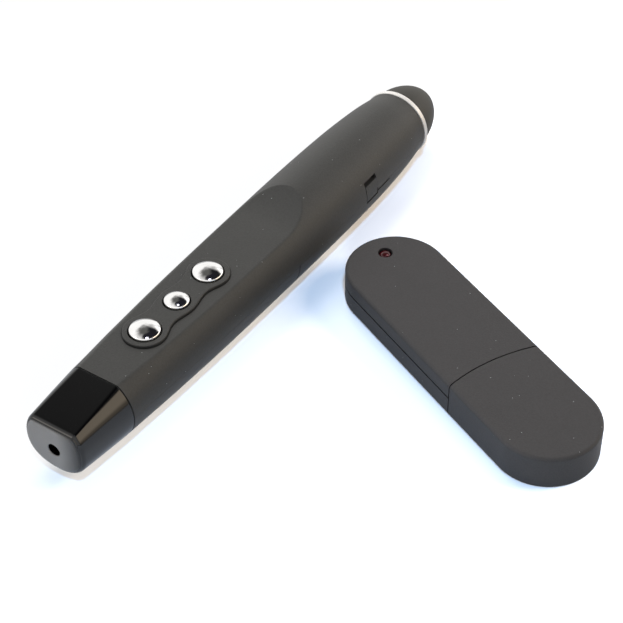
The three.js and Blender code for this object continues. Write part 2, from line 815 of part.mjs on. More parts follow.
function makePen() {
  const pen = new THREE.Group();
  addPiece(pen, 'nose_cap', makeNoseCap(), finishes.glossBlack);
  addPiece(pen, 'upper_housing', makeUpperHousing(), finishes.softCharcoal);
  addPiece(pen, 'lower_housing', makeLowerHousing(), finishes.softCharcoal);
  addPiece(pen, 'battery_door', makeBatteryDoor(), finishes.softCharcoal);
  addPiece(pen, 'tail_ring', makeTailRing(), finishes.chrome);
  addPiece(pen, 'tail_cap', makeTailCap(), finishes.tailGrey);
  addPiece(pen, 'laser_barrel', makeLaserBarrel(), finishes.brass);
  addPiece(pen, 'laser_lens', makeLaserLens(), finishes.lens);
  addPiece(pen, 'laser_diode', makeLaserDiode(), finishes.steel);
  ['front', 'middle', 'rear'].forEach((name, index) => {
    addPiece(pen, `key_${name}`, makeKey(index), finishes.chrome);
    addPiece(pen, `switch_body_${name}`, makeSwitch(index), finishes.innerBlack);
    addPiece(pen, `switch_plunger_${name}`, makePlunger(index), finishes.plugWhite);
  });
  addPiece(pen, 'circuit_board', makeBoard(), finishes.board);
  const chip = underBoard(chipPlaceShare, chipSize, chipSize, chipThickness);
  addPiece(pen, 'radio_chip', chip, finishes.innerBlack);
  const crystal = underBoard(crystalPlaceShare, crystalLength, crystalWidth, crystalHeight);
  addPiece(pen, 'clock_crystal', crystal, finishes.steel);
  addPiece(pen, 'boost_inductor', makeInductor(), finishes.innerBlack);
  boardScrewPlaces.forEach((x, index) => {
    addPiece(pen, `board_screw_${index + 1}`, makeScrew(x, boardLow - gap), finishes.steel);
  });
  const lugLow = -cradleDrop - gap - lugThickness;
  const lugMiddle = (doorFront + cradleStart + cradleBlock) / 2;
  addPiece(pen, 'housing_screw', makeScrew(lugMiddle, lugLow - gap), finishes.steel);
  addPiece(pen, 'battery_cradle', makeCradle(), finishes.innerBlack);
  addPiece(pen, 'battery_cell', makeCell(), finishes.cell);
  addPiece(pen, 'contact_plate_front', makeContact(cradleStart + cradleBlock + gap), finishes.steel);
  addPiece(pen, 'contact_plate_rear', makeContact(cellStart + cellLength + gap), finishes.steel);
  addPiece(pen, 'contact_spring', makeSpring(), finishes.steel);
  pen.position.z = barrelRadius;
  return pen;
}

// Receiver outline: a stadium with rounded edges, moved in by inset
function stadium(length, width) {
  const radius = width / 2;
  const reach = length / 2 - radius;
  const shape = new THREE.Shape();
  shape.absarc(reach, 0, radius, -Math.PI / 2, Math.PI / 2, false);
  shape.absarc(-reach, 0, radius, Math.PI / 2, (3 * Math.PI) / 2, false);
  return shape;
}

function receiverForm(inset) {
  const shape = stadium(receiverLength - 2 * inset, receiverWidth - 2 * inset);
  const bevel = Math.max(receiverEdge - inset, 0);
  return extrudedUp(shape, inset, receiverThickness - inset, { bevel, bevelSteps: edgeSteps });
}

// The seam between body and cap is a shallow arc: everything on the cap's side of it
const capStart = receiverLength / 2 - capLength;

function capSide(setback) {
  const shape = new THREE.Shape();
  const radius = capArcRadius + setback;
  const over = receiverWidth / 2 + overrun;
  const spread = Math.asin(over / radius);
  const centre = capStart + capArcRadius;
  shape.absarc(centre, 0, radius, Math.PI - spread, Math.PI + spread, false);
  shape.lineTo(receiverLength, -over);
  shape.lineTo(receiverLength, over);
  return extrudedUp(shape, -overrun, receiverThickness + overrun);
}

const plugLow = receiverThickness / 2 - plugHeight / 2;
const plugTop = plugLow + plugHeight;
const plugStart = capStart - plugIn;
const plugEnd = capStart + plugOut;
const receiverBoardTop = receiverParting - gap;
const receiverBoardHalf = receiverWidth / 2 - receiverWall - gap - lipWall - gap;
const receiverBoardEnd = plugStart - gap;
const lampPlace = lampInset - receiverLength / 2;

// Body shells without the split, with the opening that the plug comes through
function receiverBody() {
  const room = receiverForm(receiverWall).subtract(capSide(gap + receiverWall));
  const around = gap;
  const half = plugWidth / 2 + around;
  const opening = box(
    [plugStart, -half, plugLow - around],
    [receiverLength, half, plugTop + around],
  );
  return receiverForm(0).subtract(capSide(gap)).subtract(room).subtract(opening);
}

function makeReceiverTop() {
  const above = box([-far, -far, receiverParting + gap / 2], [far, far, far]);
  let shell = receiverBody().intersect(above);
  const lipOuter = receiverForm(receiverWall + gap);
  const lipInner = receiverForm(receiverWall + gap + lipWall);
  const lipBand = box(
    [-far, -far, receiverParting - lipDepth],
    [plugStart - lipWall, far, receiverParting + gap / 2 + lipWall],
  );
  const rootBand = box(
    [-far, -far, receiverParting + gap / 2],
    [plugStart - lipWall, far, receiverParting + gap / 2 + lipWall],
  );
  const root = receiverForm(receiverWall / 2).subtract(lipInner).intersect(rootBand);
  shell = shell.add(root).add(lipOuter.subtract(lipInner).intersect(lipBand));
  const hole = rod(lampRadius + gap, receiverParting, receiverThickness + overrun);
  return shell.subtract(turnedAlongZ(hole, smallSides, lampPlace, lampOffset));
}

function makeReceiverBottom() {
  const below = box([-far, -far, -far], [far, far, receiverParting - gap / 2]);
  let shell = receiverBody().intersect(below);
  const boardLowFace = receiverBoardTop - receiverBoardThickness;
  [-receiverBoardHalf, 0].forEach((x) => {
    const place = x - receiverBoardHalf;
    const rib = box(
      [place, -receiverBoardHalf / 2, receiverWall / 2],
      [place + receiverRibWidth, receiverBoardHalf / 2, boardLowFace - gap],
    );
    shell = shell.add(rib);
  });
  return shell;
}

function makeReceiverCap() {
  const half = plugWidth / 2 + gap;
  const pocket = box(
    [-receiverLength, -half, plugLow - gap],
    [receiverLength / 2 - capEndWall - receiverWidth / 2, half, plugTop + gap],
  );
  return receiverForm(0).intersect(capSide(0)).subtract(pocket);
}

function makeReceiverBoard() {
  const board = extrudedUp(
    stadium(receiverLength - 2 * (receiverWidth / 2 - receiverBoardHalf), 2 * receiverBoardHalf),
    receiverBoardTop - receiverBoardThickness,
    receiverBoardTop,
  );
  return board.intersect(box([-far, -far, -far], [receiverBoardEnd, far, far]));
}

// The receiver's red lamp: a domed lens on a small flange, just under the hole in the top shell
function makeLamp() {
  const low = receiverBoardTop + gap;
  const profile = [
    [low, 0],
    [low, lampRadius],
  ];
  const shoulder = receiverThickness - lampRecess - lampRadius;
  for (let step = 0; step <= domeSteps; step += 1) {
    const angle = (step / domeSteps) * (Math.PI / 2);
    const out = step === domeSteps ? 0 : lampRadius * Math.cos(angle);
    profile.push([shoulder + lampRadius * Math.sin(angle), out]);
  }
  return turnedAlongZ(profile, smallSides, lampPlace, lampOffset);
}

function makePlugShell() {
  const half = plugWidth / 2;
  let shell = box([plugStart, -half, plugLow], [plugEnd, half, plugTop]);
  shell = shell.subtract(box(
    [plugStart - overrun, -half + plugWall, plugLow + plugWall],
    [plugEnd + overrun, half - plugWall, plugTop - plugWall],
  ));
  const middle = plugEnd - plugWindowPlace;
  [-1, 1].forEach((side) => {
    const y = (side * plugWindowSpread) / 2;
    shell = shell.subtract(box(
      [middle - plugWindow / 2, y - plugWindow / 2, plugLow - overrun],
      [middle + plugWindow / 2, y + plugWindow / 2, plugTop + overrun],
    ));
  });
  return shell;
}

// The plug's insulator: a block behind, and a tongue along the upper wall
function makeTongue() {
  const half = plugWidth / 2 - plugWall - gap;
  const top = plugTop - plugWall - gap;
  const block = box([plugStart, -half, plugLow + plugWall + gap], [capStart, half, top]);
  return block.add(box([plugStart, -half, top - tongueThickness], [plugEnd - tongueInset, half, top]));
}

function makePad(index) {
  const y = (index - (padCount - 1) / 2) * padPitch;
  const top = plugTop - plugWall - gap - tongueThickness - gap;
  const end = plugEnd - tongueInset - tongueInset;
  return box([end - padLength, y - padWidth / 2, top - padThickness], [end, y + padWidth / 2, top]);
}

function onReceiverBoard(x, length, width, height) {
  const low = receiverBoardTop + gap;
  return box([x - length / 2, -width / 2, low], [x + length / 2, width / 2, low + height]);
}

function makeReceiver() {
  const receiver = new THREE.Group();
  addPiece(receiver, 'receiver_top_shell', makeReceiverTop(), finishes.receiverGrey);
  addPiece(receiver, 'receiver_bottom_shell', makeReceiverBottom(), finishes.receiverGrey);
  addPiece(receiver, 'receiver_cap', makeReceiverCap(), finishes.receiverGrey);
  addPiece(receiver, 'receiver_board', makeReceiverBoard(), finishes.board);
  addPiece(receiver, 'receiver_lamp', makeLamp(), finishes.lampRed);
  const crystalX = plugStart - receiverCrystalSpace - crystalWidth / 2;
  const chipX = crystalX - crystalWidth / 2 - receiverChipSpace - chipSize / 2;
  const chip = onReceiverBoard(chipX, chipSize, chipSize, chipThickness);
  addPiece(receiver, 'receiver_chip', chip, finishes.innerBlack);
  const crystal = onReceiverBoard(crystalX, crystalWidth, crystalLength, crystalHeight);
  addPiece(receiver, 'receiver_crystal', crystal, finishes.steel);
  addPiece(receiver, 'usb_plug_shell', makePlugShell(), finishes.steel);
  addPiece(receiver, 'usb_plug_tongue', makeTongue(), finishes.plugWhite);
  for (let index = 0; index < padCount; index += 1) {
    addPiece(receiver, `usb_contact_${index + 1}`, makePad(index), finishes.gold);
  }
  receiver.position.set(receiverAlong, receiverAcross, 0);
  receiver.rotation.z = THREE.MathUtils.degToRad(receiverTurn);
  return receiver;
}

// Pen and receiver together, with the origin under the middle of their bounding box
const presenter = new THREE.Group();
presenter.add(makePen(), makeReceiver());
presenter.updateMatrixWorld(true);
const bounds = new THREE.Box3().setFromObject(presenter, true);
presenter.position.set(
  -(bounds.min.x + bounds.max.x) / 2,
  -(bounds.min.y + bounds.max.y) / 2,
  -bounds.min.z,
);
presenter.updateMatrixWorld(true);

export default presenter;
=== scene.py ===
import math

import bmesh
import bpy
from mathutils import Matrix, Vector


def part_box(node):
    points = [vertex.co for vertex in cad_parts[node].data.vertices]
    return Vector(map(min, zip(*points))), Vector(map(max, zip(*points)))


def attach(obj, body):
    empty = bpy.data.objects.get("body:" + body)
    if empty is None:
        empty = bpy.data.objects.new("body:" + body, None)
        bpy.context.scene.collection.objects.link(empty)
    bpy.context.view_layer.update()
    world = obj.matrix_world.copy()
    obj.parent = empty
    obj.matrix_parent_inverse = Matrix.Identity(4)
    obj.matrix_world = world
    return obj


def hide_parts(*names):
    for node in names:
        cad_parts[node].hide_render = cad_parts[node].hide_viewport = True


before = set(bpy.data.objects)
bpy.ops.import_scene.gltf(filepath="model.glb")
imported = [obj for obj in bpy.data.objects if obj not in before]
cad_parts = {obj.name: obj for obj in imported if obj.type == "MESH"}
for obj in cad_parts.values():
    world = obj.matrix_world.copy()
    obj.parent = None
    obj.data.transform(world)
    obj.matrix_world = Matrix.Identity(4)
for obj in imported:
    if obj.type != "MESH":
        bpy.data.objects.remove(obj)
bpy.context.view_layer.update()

bl_info = {
    "name": "Wireless presenter",
    "version": (1, 0, 0),
    "blender": (4, 5, 0),
    "location": "View3D > Sidebar > Presenter",
    "description": "Builds the presenter pen and its USB receiver round their packed CAD frame",
    "category": "Add Mesh",
}


# Units, places and colours
def mm(value):
    """Millimetres as metres"""
    return value / 1000


def middle(node):
    """Middle of a CAD node's box"""
    low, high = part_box(node)
    return (low + high) / 2


# The pen's axis starts at the nose face, the receiver's at its middle on the floor
ring_low, ring_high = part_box("tail_ring")
tail_low, tail_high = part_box("tail_cap")
shell_low, shell_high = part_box("receiver_bottom_shell")
cap_low, cap_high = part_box("receiver_cap")
pen_start = Vector((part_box("nose_cap")[0].x, *middle("tail_ring").yz))
receiver_middle = (Vector(map(min, shell_low, cap_low)) + Vector(map(max, shell_high, cap_high))) / 2
receiver_middle.z = 0.0

POLE = mm(0.01)  # radius left at the middle of a turned form's end
BEYOND = mm(3)  # how far a form that is cut away passes the ends of the form that it cuts
LENGTHWISE = (0.0, math.pi / 2, 0.0)  # turns an upright form to lie along the pen


def from_pen_start(node):
    """A CAD node's points, as seen from the pen's start"""
    return [vertex.co - pen_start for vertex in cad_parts[node].data.vertices]


def linear(hex_value):
    """An sRGB hex value as a linear colour"""
    parts = [int(hex_value[start:start + 2], 16) / 255 for start in (0, 2, 4)]
    return (*[p / 12.92 if p <= 0.04045 else ((p + 0.055) / 1.055) ** 2.4 for p in parts], 1.0)


def mix(low, high, share):
    return low + (high - low) * share


def quarter(steps):
    """A rounded edge of radius 1, as pairs of how far it lies behind its end and inside its side"""
    angles = [step / steps * math.pi / 2 for step in range(steps + 1)]
    return [(1 - math.cos(angle), 1 - math.sin(angle)) for angle in angles]


def size(name, description, millimetres):
    return bpy.props.FloatProperty(
        name=name, description=description, default=mm(millimetres), min=0.0, precision=5,
        unit="LENGTH", subtype="DISTANCE",
    )


def finish_colour(name, description, hex_value):
    return bpy.props.FloatVectorProperty(
        name=name, description=description, default=linear(hex_value), size=4, min=0.0, max=1.0,
        subtype="COLOR",
    )


class PresenterPen(bpy.types.PropertyGroup):
    """Sizes of the pen's shells"""

    nose_length: size("Nose length", "From the nose face to the seam with the housings", 15.3)
    body_length: size("Body length", "From the nose seam to the tail ring", 116)
    barrel_radius: size("Barrel radius", "Largest radius of the round barrel", 10.6)
    flat_depth: size("Flat depth", "How far the flat top lies under the full round", 3.3)
    flat_length: size("Flat length", "From the nose seam to the start of the thumb scoop", 57.7)
    scoop_radius: size("Scoop radius", "Radius of the thumb scoop seen from the side", 25)
    edge_round: size("Edge round", "Rounding between the flat top and the barrel", 0.38)
    face_width: size("Face width", "Width of the squared nose face", 15)
    face_rise: size("Face rise", "Height of the flat over the axis at the nose face", 5.3)
    face_drop: size("Face drop", "Depth of the nose face under the axis", 6.9)
    face_crown: size("Face crown", "Height that the squared face would have without the flat", 7)
    face_edge: size("Face edge", "Rounding round the nose face", 1.3)
    laser_drop: size("Laser drop", "Depth of the laser's axis under the pen's", 1.15)
    aperture_radius: size("Aperture radius", "Radius of the hole in the nose face", 1.5)
    seam: size("Seam", "Visible width of the seam round the nose and the door's front", 0.2)
    parting: size("Parting", "Visible width of the lengthwise parting line", 0.04)
    seam_round: size("Seam round", "Rounding of the shells' ends at a seam", 0.12)
    skin: size("Skin", "Depth to which the shells are remade finely over the CAD walls", 0.7)
    squareness: bpy.props.FloatProperty(
        name="Squareness", description="Power of the nose face's outline, where 2 is round",
        default=2.35, min=2.0,
    )
    place_shares: bpy.props.FloatVectorProperty(
        name="Place shares", description="Places along the body where the barrel's radius is given",
        size=11, default=(0, 0.11, 0.247, 0.385, 0.523, 0.661, 0.765, 0.834, 0.894, 0.946, 1),
    )
    radius_shares: bpy.props.FloatVectorProperty(
        name="Radius shares", description="Barrel radius at those places, as shares of the largest",
        size=11, default=(0.84, 0.895, 0.947, 0.975, 0.991, 1, 0.988, 0.966, 0.93, 0.882, 0.807),
    )


class PresenterKeys(bpy.types.PropertyGroup):
    """Sizes of the keys and of their raised panel"""

    outer_radius: size("Outer key radius", "Radius of the front and the rear key", 3.45)
    middle_radius: size("Middle key radius", "Radius of the middle key", 2.85)
    dome: size("Dome", "Height of a key's domed top", 1.05)
    rim: size("Rim", "How far a key's straight side stands over the panel", 0.35)
    rim_round: size("Rim round", "Rounding where the dome meets the side", 0.16)
    hole_gap: size("Hole gap", "Clearance round a key", 0.3)
    panel_rise: size("Panel rise", "Height of the key panel over the flat", 0.6)
    panel_margin: size("Panel margin", "Panel round each key", 1.45)
    panel_waist: size("Panel waist", "Width of the panel between two keys", 7)
    panel_round: size("Panel round", "Rounding of the panel's upper edge", 0.22)
    moat: size("Moat", "Width of the groove round the panel's foot", 0.2)


class PresenterReceiver(bpy.types.PropertyGroup):
    """Sizes of the receiver"""

    length: size("Receiver length", "End to end, with the cap on", 79.4)
    width: size("Receiver width", "Across the two straight sides", 23.5)
    thickness: size("Receiver thickness", "From the underside to the top", 8.6)
    edge: size("Receiver edge", "Rounding between the top and the sides", 0.8)
    parting: size("Parting height", "Height of the groove between the two shells", 4.9)
    groove: size("Groove", "Width of the parting groove", 0.44)
    seam: size("Cap seam", "Width of the seam between the body and the cap", 0.3)
    cap_length: size("Cap length", "From the seam's middle to the cap's end", 31.6)
    cap_arc: size("Cap arc", "Radius of the seam seen from above", 44)
    lamp_radius: size("Lamp radius", "Radius of the lamp's dome", 1.4)
    lamp_rise: size("Lamp rise", "Height of the lamp's dome", 0.7)
    lamp_recess: size("Lamp recess", "How far the lamp lies under the top", 0.1)
    skin: size("Skin", "Depth to which the shells are remade finely over the CAD walls", 0.7)
    turn: bpy.props.FloatProperty(
        name="Turn", description="Direction in which the cap points", default=math.radians(-114.6),
        subtype="ANGLE", unit="ROTATION",
    )


class PresenterFinishes(bpy.types.PropertyGroup):
    """Colours of the finishes"""

    soft_charcoal: finish_colour("Soft-touch charcoal", "Paint on the pen's housings", "424241")
    gloss_black: finish_colour("Gloss black", "Polished nose cap", "070708")
    # Its pale grey is partly painted light, and the nose cap darkens it towards one side as painted shade
    nose_face: finish_colour("Nose face", "Satin face of the nose cap", "cecac5")
    chrome: finish_colour("Chrome", "Plated keys", "f3f2f1")
    ring: finish_colour("Ring", "Bright tail ring", "f4f2ef")
    tail_grey: finish_colour("Tail grey", "Moulded tail cap", "3b3a37")
    receiver_grey: finish_colour("Receiver grey", "Spark-textured receiver shells", "414041")
    inner_black: finish_colour("Inner black", "Moulded inner pieces", "1b1c1e")
    dust: finish_colour("Dust", "Specks of dust on the matt surfaces", "b4b8b8")
    brass: finish_colour("Brass", "Turned laser barrel", "b08d4a")
    nickel: finish_colour("Nickel", "Plated contacts, screws and plug", "b9bcc0")
    gold: finish_colour("Gold", "Plated USB contacts", "d2a94e")
    board_green: finish_colour("Board green", "Solder mask", "1c5a3a")
    jacket: finish_colour("Jacket", "Battery jacket", "2f3336")
    lamp_red: finish_colour("Lamp red", "Receiver lamp", "3a040a")
    # The lamp cup's pale colour is partly a painted highlight ring in the lamp
    lamp_cup_highlight: finish_colour("Lamp cup", "Cup inside the receiver lamp", "cf98a0")
    natural_white: finish_colour("Natural white", "Undyed plastic inside the plug and switches", "e8e6e0")


# Meshes
def linked(name, mesh):
    made = bpy.data.objects.new(name, mesh)
    bpy.context.scene.collection.objects.link(made)
    return made


def facing_out(mesh):
    """Turns a closed mesh's faces outwards"""
    shape = bmesh.new()
    shape.from_mesh(mesh)
    if shape.calc_volume(signed=True) < 0:
        bmesh.ops.reverse_faces(shape, faces=shape.faces)
    shape.to_mesh(mesh)
    shape.free()
    return mesh


def loft(name, rings, ends_meet=False):
    """A closed skin over rings of equally many points: capped at both ends, or joined end to end"""
    sides = len(rings[0])
    points = [tuple(point) for ring in rings for point in ring]
    spans = len(rings) if ends_meet else len(rings) - 1
    faces = []
    for span in range(spans):
        row = span * sides
        after = (span + 1) % len(rings) * sides
        for side in range(sides):
            following = (side + 1) % sides
            faces.append((row + side, row + following, after + following, after + side))
    if not ends_meet:
        last = (len(rings) - 1) * sides
        faces.append(tuple(reversed(range(sides))))
        faces.append(tuple(range(last, last + sides)))
    mesh = bpy.data.meshes.new(name)
    mesh.from_pydata(points, [], faces)
    return linked(name, facing_out(mesh))


def turned(name, profile, sides, place, axis, hollow=False):
    """A turned form at place: profile points are (distance along the axis, radius)"""
    along = Vector(axis)
    across = Vector((0, 0, 1)) if abs(along.z) < 0.5 else Vector((1, 0, 0))
    third = along.cross(across)
    rings = []
    for distance, radius in profile:
        ring = []
        for side in range(sides):
            angle = 2 * math.pi * side / sides
            outward = across * math.cos(angle) + third * math.sin(angle)
            ring.append(Vector(place) + along * distance + outward * radius)
        rings.append(ring)
    return loft(name, rings, hollow)


def block(name, low, high, turn=0.0, about=(0, 0, 0)):
    """A box between two corners, turned about a point on the floor plan"""
    spin = Matrix.Translation(about) @ Matrix.Rotation(turn, 4, "Z")
    corners = [(low[0], low[1]), (high[0], low[1]), (high[0], high[1]), (low[0], high[1])]
    return loft(name, [[spin @ Vector((x, y, z)) for x, y in corners] for z in (low[2], high[2])])


def welded(node):
    """A copy of a CAD node's mesh with its doubled points merged"""
    shape = bmesh.new()
    shape.from_mesh(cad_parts[node].data)
    bmesh.ops.remove_doubles(shape, verts=shape.verts, dist=1e-8)
    mesh = bpy.data.meshes.new(node + "_copy")
    shape.to_mesh(mesh)
    shape.free()
    return linked(node + "_copy", mesh)


def evaluated_mesh(made):
    return bpy.data.meshes.new_from_object(made.evaluated_get(bpy.context.evaluated_depsgraph_get()))


def joined(name, start, *steps):
    """start after each (operation, other) step in turn, as a plain mesh; the forms used are removed"""
    for operation, other in steps:
        modifier = start.modifiers.new(operation, "BOOLEAN")
        modifier.solver = "MANIFOLD"
        modifier.operation = operation
        modifier.object = other
    mesh = evaluated_mesh(start)
    if not mesh.polygons:
        raise RuntimeError(name + ": the cuts left nothing")
    for form in {start, *(other for operation, other in steps)}:
        bpy.data.objects.remove(form)
    mesh.name = name
    return linked(name, mesh)


def smooth(made, degrees=30):
    """Shades a piece smoothly: a face's corner leans to the faces there that lie within so many degrees,
    each by its area, so that large faces stay flat and sharp edges stay sharp"""
    mesh = made.data
    mesh.shade_smooth()
    limit = math.cos(math.radians(degrees))
    around = [[] for vertex in mesh.vertices]
    for face in mesh.polygons:
        for vertex in face.vertices:
            around[vertex].append((face.normal.copy(), face.area))
    normals = []
    for face in mesh.polygons:
        own = face.normal.copy()
        for vertex in face.vertices:
            near = [other * area for other, area in around[vertex] if own.dot(other) > limit]
            normals.append(sum(near, Vector()))
    mesh.normals_split_custom_set([normal.normalized() for normal in normals])
    return made


def finished(made, body, slot, materials, *nodes):
    """Dresses a piece, gives it its body and hides the CAD nodes that it stands for; the slot is not used
    """
    made.data.materials.clear()
    for material in materials:
        made.data.materials.append(material)
    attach(made, body)
    if nodes:
        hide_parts(*nodes)
    return made


# Node trees
def add(tree, kind, inputs=None, **settings):
    """One node with its settings, and its inputs linked from sockets or set to values"""
    made = tree.nodes.new(kind)
    for name, value in settings.items():
        setattr(made, name, value)
    for key, value in (inputs or {}).items():
        if isinstance(value, bpy.types.NodeSocket):
            tree.links.new(value, made.inputs[key])
        else:
            made.inputs[key].default_value = value
    return made


def cleared(owner):
    """The emptied node tree of a material or a world"""
    owner.use_nodes = True
    owner.node_tree.nodes.clear()
    return owner.node_tree


def maths(tree, operation, first, second=0.0):
    return add(tree, "ShaderNodeMath", {0: first, 1: second}, operation=operation).outputs[0]


def squared(tree, value):
    return maths(tree, "POWER", value, 2.0)


def vectors(tree, operation, first, second=(0.0, 0.0, 0.0)):
    """A vector sum; a length and a dot product come out as one number"""
    made = add(tree, "ShaderNodeVectorMath", {0: first, 1: second}, operation=operation)
    return made.outputs["Value" if operation in {"LENGTH", "DOT_PRODUCT"} else "Vector"]


def split(tree, vector):
    return add(tree, "ShaderNodeSeparateXYZ", {0: vector}).outputs


def from_axis(tree, apart):
    """Distance from the z axis"""
    x, y = (maths(tree, "MULTIPLY", apart[axis], apart[axis]) for axis in ("X", "Y"))
    return maths(tree, "SQRT", maths(tree, "ADD", x, y))


def ranged(tree, value, start, end, low=0.0, high=1.0, soft=False):
    """low where value is at start, high where it is at end, and nothing beyond them"""
    return add(tree, "ShaderNodeMapRange", {
        "Value": value, "From Min": start, "From Max": end, "To Min": low, "To Max": high,
    }, interpolation_type="SMOOTHSTEP" if soft else "LINEAR").outputs["Result"]


def blended(tree, share, without, within):
    """A colour between two"""
    return add(tree, "ShaderNodeMix", {0: share, 6: without, 7: within}, data_type="RGBA").outputs[2]


def either(tree, share, without, within):
    """A shader between two"""
    return add(tree, "ShaderNodeMixShader", {0: share, 1: without.outputs[0], 2: within.outputs[0]})


def per_metre(millimetres):
    """Texture scale at which a pattern repeats once in so many millimetres"""
    return 1000 / millimetres


def noise(tree, where, patch, **inputs):
    inputs = {"Vector": where, "Scale": per_metre(patch), **inputs}
    return add(tree, "ShaderNodeTexNoise", inputs).outputs["Fac"]


def new_material(name):
    """A material, its node tree and its pattern coordinates"""
    material = bpy.data.materials.new(name)
    tree = cleared(material)
    return material, tree, add(tree, "ShaderNodeTexCoord").outputs["Object"]


def end_material(tree, colour, roughness, relief=None, depth=0.0, more=None):
    """The shader, with a relief so many millimetres deep"""
    inputs = {"Base Color": colour, "Roughness": roughness, **(more or {})}
    if relief is not None:
        bump = add(tree, "ShaderNodeBump", {"Height": relief, "Distance": mm(depth), "Strength": 1.0})
        inputs["Normal"] = bump.outputs["Normal"]
    shader = add(tree, "ShaderNodeBsdfPrincipled", inputs)
    add(tree, "ShaderNodeOutputMaterial", {"Surface": shader.outputs["BSDF"]})


def scaled(colour, factor):
    return (*[min(part * factor, 1.0) for part in colour[:3]], 1.0)


def toned(tree, where, colour, spread, patch):
    """A colour that wanders a little from patch to patch"""
    cloud = noise(tree, where, patch, Detail=3.0)
    return blended(tree, cloud, scaled(colour, 1 - spread), scaled(colour, 1 + spread))


def moulded(name, colour, roughness, grain, depth, dust=None, spread=0.05, sheen=0.0, specular=0.5):
    """Matt plastic: a grain of hollows that scatters the light, and a few specks of dust"""
    material, tree, where = new_material(name)
    texture = noise(tree, where, grain, Detail=3.0, Roughness=0.6)
    shade = ranged(tree, texture, 0, 1, 0.72, 1.28)
    base = vectors(tree, "MULTIPLY", toned(tree, where, colour, spread, 9), shade)
    if dust:
        speck_size, shown_from = 0.055, 0.72
        cells = add(tree, "ShaderNodeTexVoronoi", {"Vector": where, "Scale": per_metre(1.5)}).outputs
        near = maths(tree, "LESS_THAN", cells["Distance"], speck_size)
        chance = add(tree, "ShaderNodeSeparateColor", {"Color": cells["Color"]}).outputs["Red"]
        picked = maths(tree, "GREATER_THAN", chance, shown_from)
        base = blended(tree, maths(tree, "MULTIPLY", near, picked), base, dust)
    rough = ranged(tree, texture, 0, 1, roughness - 0.05, roughness + 0.05)
    end_material(tree, base, rough, texture, depth, {"Sheen Weight": sheen, "Specular IOR Level": specular})
    return material


def metal(name, colour, roughness, scratch, depth, stretch=(1, 1, 1), bare=1.0):
    """Bare or plated metal: fine marks that lie in the direction in which it was worked"""
    material, tree, where = new_material(name)
    lay = add(tree, "ShaderNodeMapping", {"Vector": where, "Scale": stretch}).outputs["Vector"]
    marks = noise(tree, lay, scratch, Detail=4.0, Roughness=0.65)
    rough = ranged(tree, marks, 0, 1, roughness * 0.7, roughness * 1.4)
    end_material(tree, toned(tree, where, colour, 0.04, 4), rough, marks, depth, {"Metallic": bare})
    return material


def geometry_tree(name, places, floats):
    """A Geometry Nodes tree with named inputs, the last of which is its finish"""
    tree = bpy.data.node_groups.new(name, "GeometryNodeTree")
    kinds = [(label, "Vector") for label in places] + [(label, "Float") for label in floats]
    for label, kind in [*kinds, ("Finish", "Material")]:
        tree.interface.new_socket(name=label, in_out="INPUT", socket_type="NodeSocket" + kind)
    tree.interface.new_socket(name="Geometry", in_out="OUTPUT", socket_type="NodeSocketGeometry")
    return tree, add(tree, "NodeGroupInput").outputs


def end_tree(tree, geometry, material):
    real = add(tree, "GeometryNodeRealizeInstances", {"Geometry": geometry})
    dressed = add(tree, "GeometryNodeSetMaterial", {"Geometry": real.outputs[0], "Material": material})
    add(tree, "NodeGroupOutput", {"Geometry": dressed.outputs[0]})
    return tree


def cylinder(tree, sides, radius, depth, rings=1):
    return add(tree, "GeometryNodeMeshCylinder", {
        "Vertices": sides, "Side Segments": 1, "Fill Segments": rings, "Radius": radius, "Depth": depth,
    }).outputs


def moved(tree, part, by, turn=(0.0, 0.0, 0.0)):
    inputs = {"Geometry": part, "Translation": by, "Rotation": turn}
    return add(tree, "GeometryNodeTransform", inputs).outputs[0]


def upright(tree, height):
    return add(tree, "ShaderNodeCombineXYZ", {"Z": height}).outputs[0]


def raised(tree, part, height):
    return moved(tree, part, upright(tree, height))


def combined(tree, operation, parts, start=None):
    """The union of all parts, or start without them"""
    whole = add(tree, "GeometryNodeMeshBoolean", operation=operation, solver="MANIFOLD")
    if start is not None:
        tree.links.new(start, whole.inputs["Mesh 1"])
    for part in parts:
        tree.links.new(part, whole.inputs["Mesh 2"])
    return whole.outputs[0]


def grown(name, tree, values):
    """What a tree makes from these values, as a plain mesh"""
    made = linked(name, bpy.data.meshes.new(name))
    modifier = made.modifiers.new(tree.name, "NODES")
    modifier.node_group = tree
    for item in tree.interface.items_tree:
        if item.in_out == "INPUT":
            modifier[item.identifier] = values[item.name]
    mesh = evaluated_mesh(made)
    if not mesh.polygons:
        raise RuntimeError(name + ": the tree made nothing")
    made.modifiers.remove(modifier)
    made.data = facing_out(mesh)
    return made


# The pen's form
FLAT_POINTS = 10
EDGE_POINTS = 8
SIDE_POINTS = 64
JUST_UNDER_ONE = 0.99999  # keeps the flat from vanishing where the scoop leaves the barrel


def barrel_radius(pen, x):
    """The barrel's radius at x, on one smooth curve through the stated shares"""
    share = min(max((x - pen.nose_length) / pen.body_length, 0.0), 1.0)
    places = list(pen.place_shares)
    radii = list(pen.radius_shares)
    after = max(1, next((step for step, place in enumerate(places) if place >= share), len(places) - 1))
    before = after - 1
    along = (share - places[before]) / (places[after] - places[before])
    r0, r1, r2, r3 = (radii[min(max(before + step, 0), len(radii) - 1)] for step in (-1, 0, 1, 2))
    rise_in, rise_out = (r2 - r0) / 2, (r3 - r1) / 2
    cubic = 2 * r1 - 2 * r2 + rise_in + rise_out
    square = -3 * r1 + 3 * r2 - 2 * rise_in - rise_out
    value = ((cubic * along + square) * along + rise_in) * along + r1
    return pen.barrel_radius * min(value, 1.0)


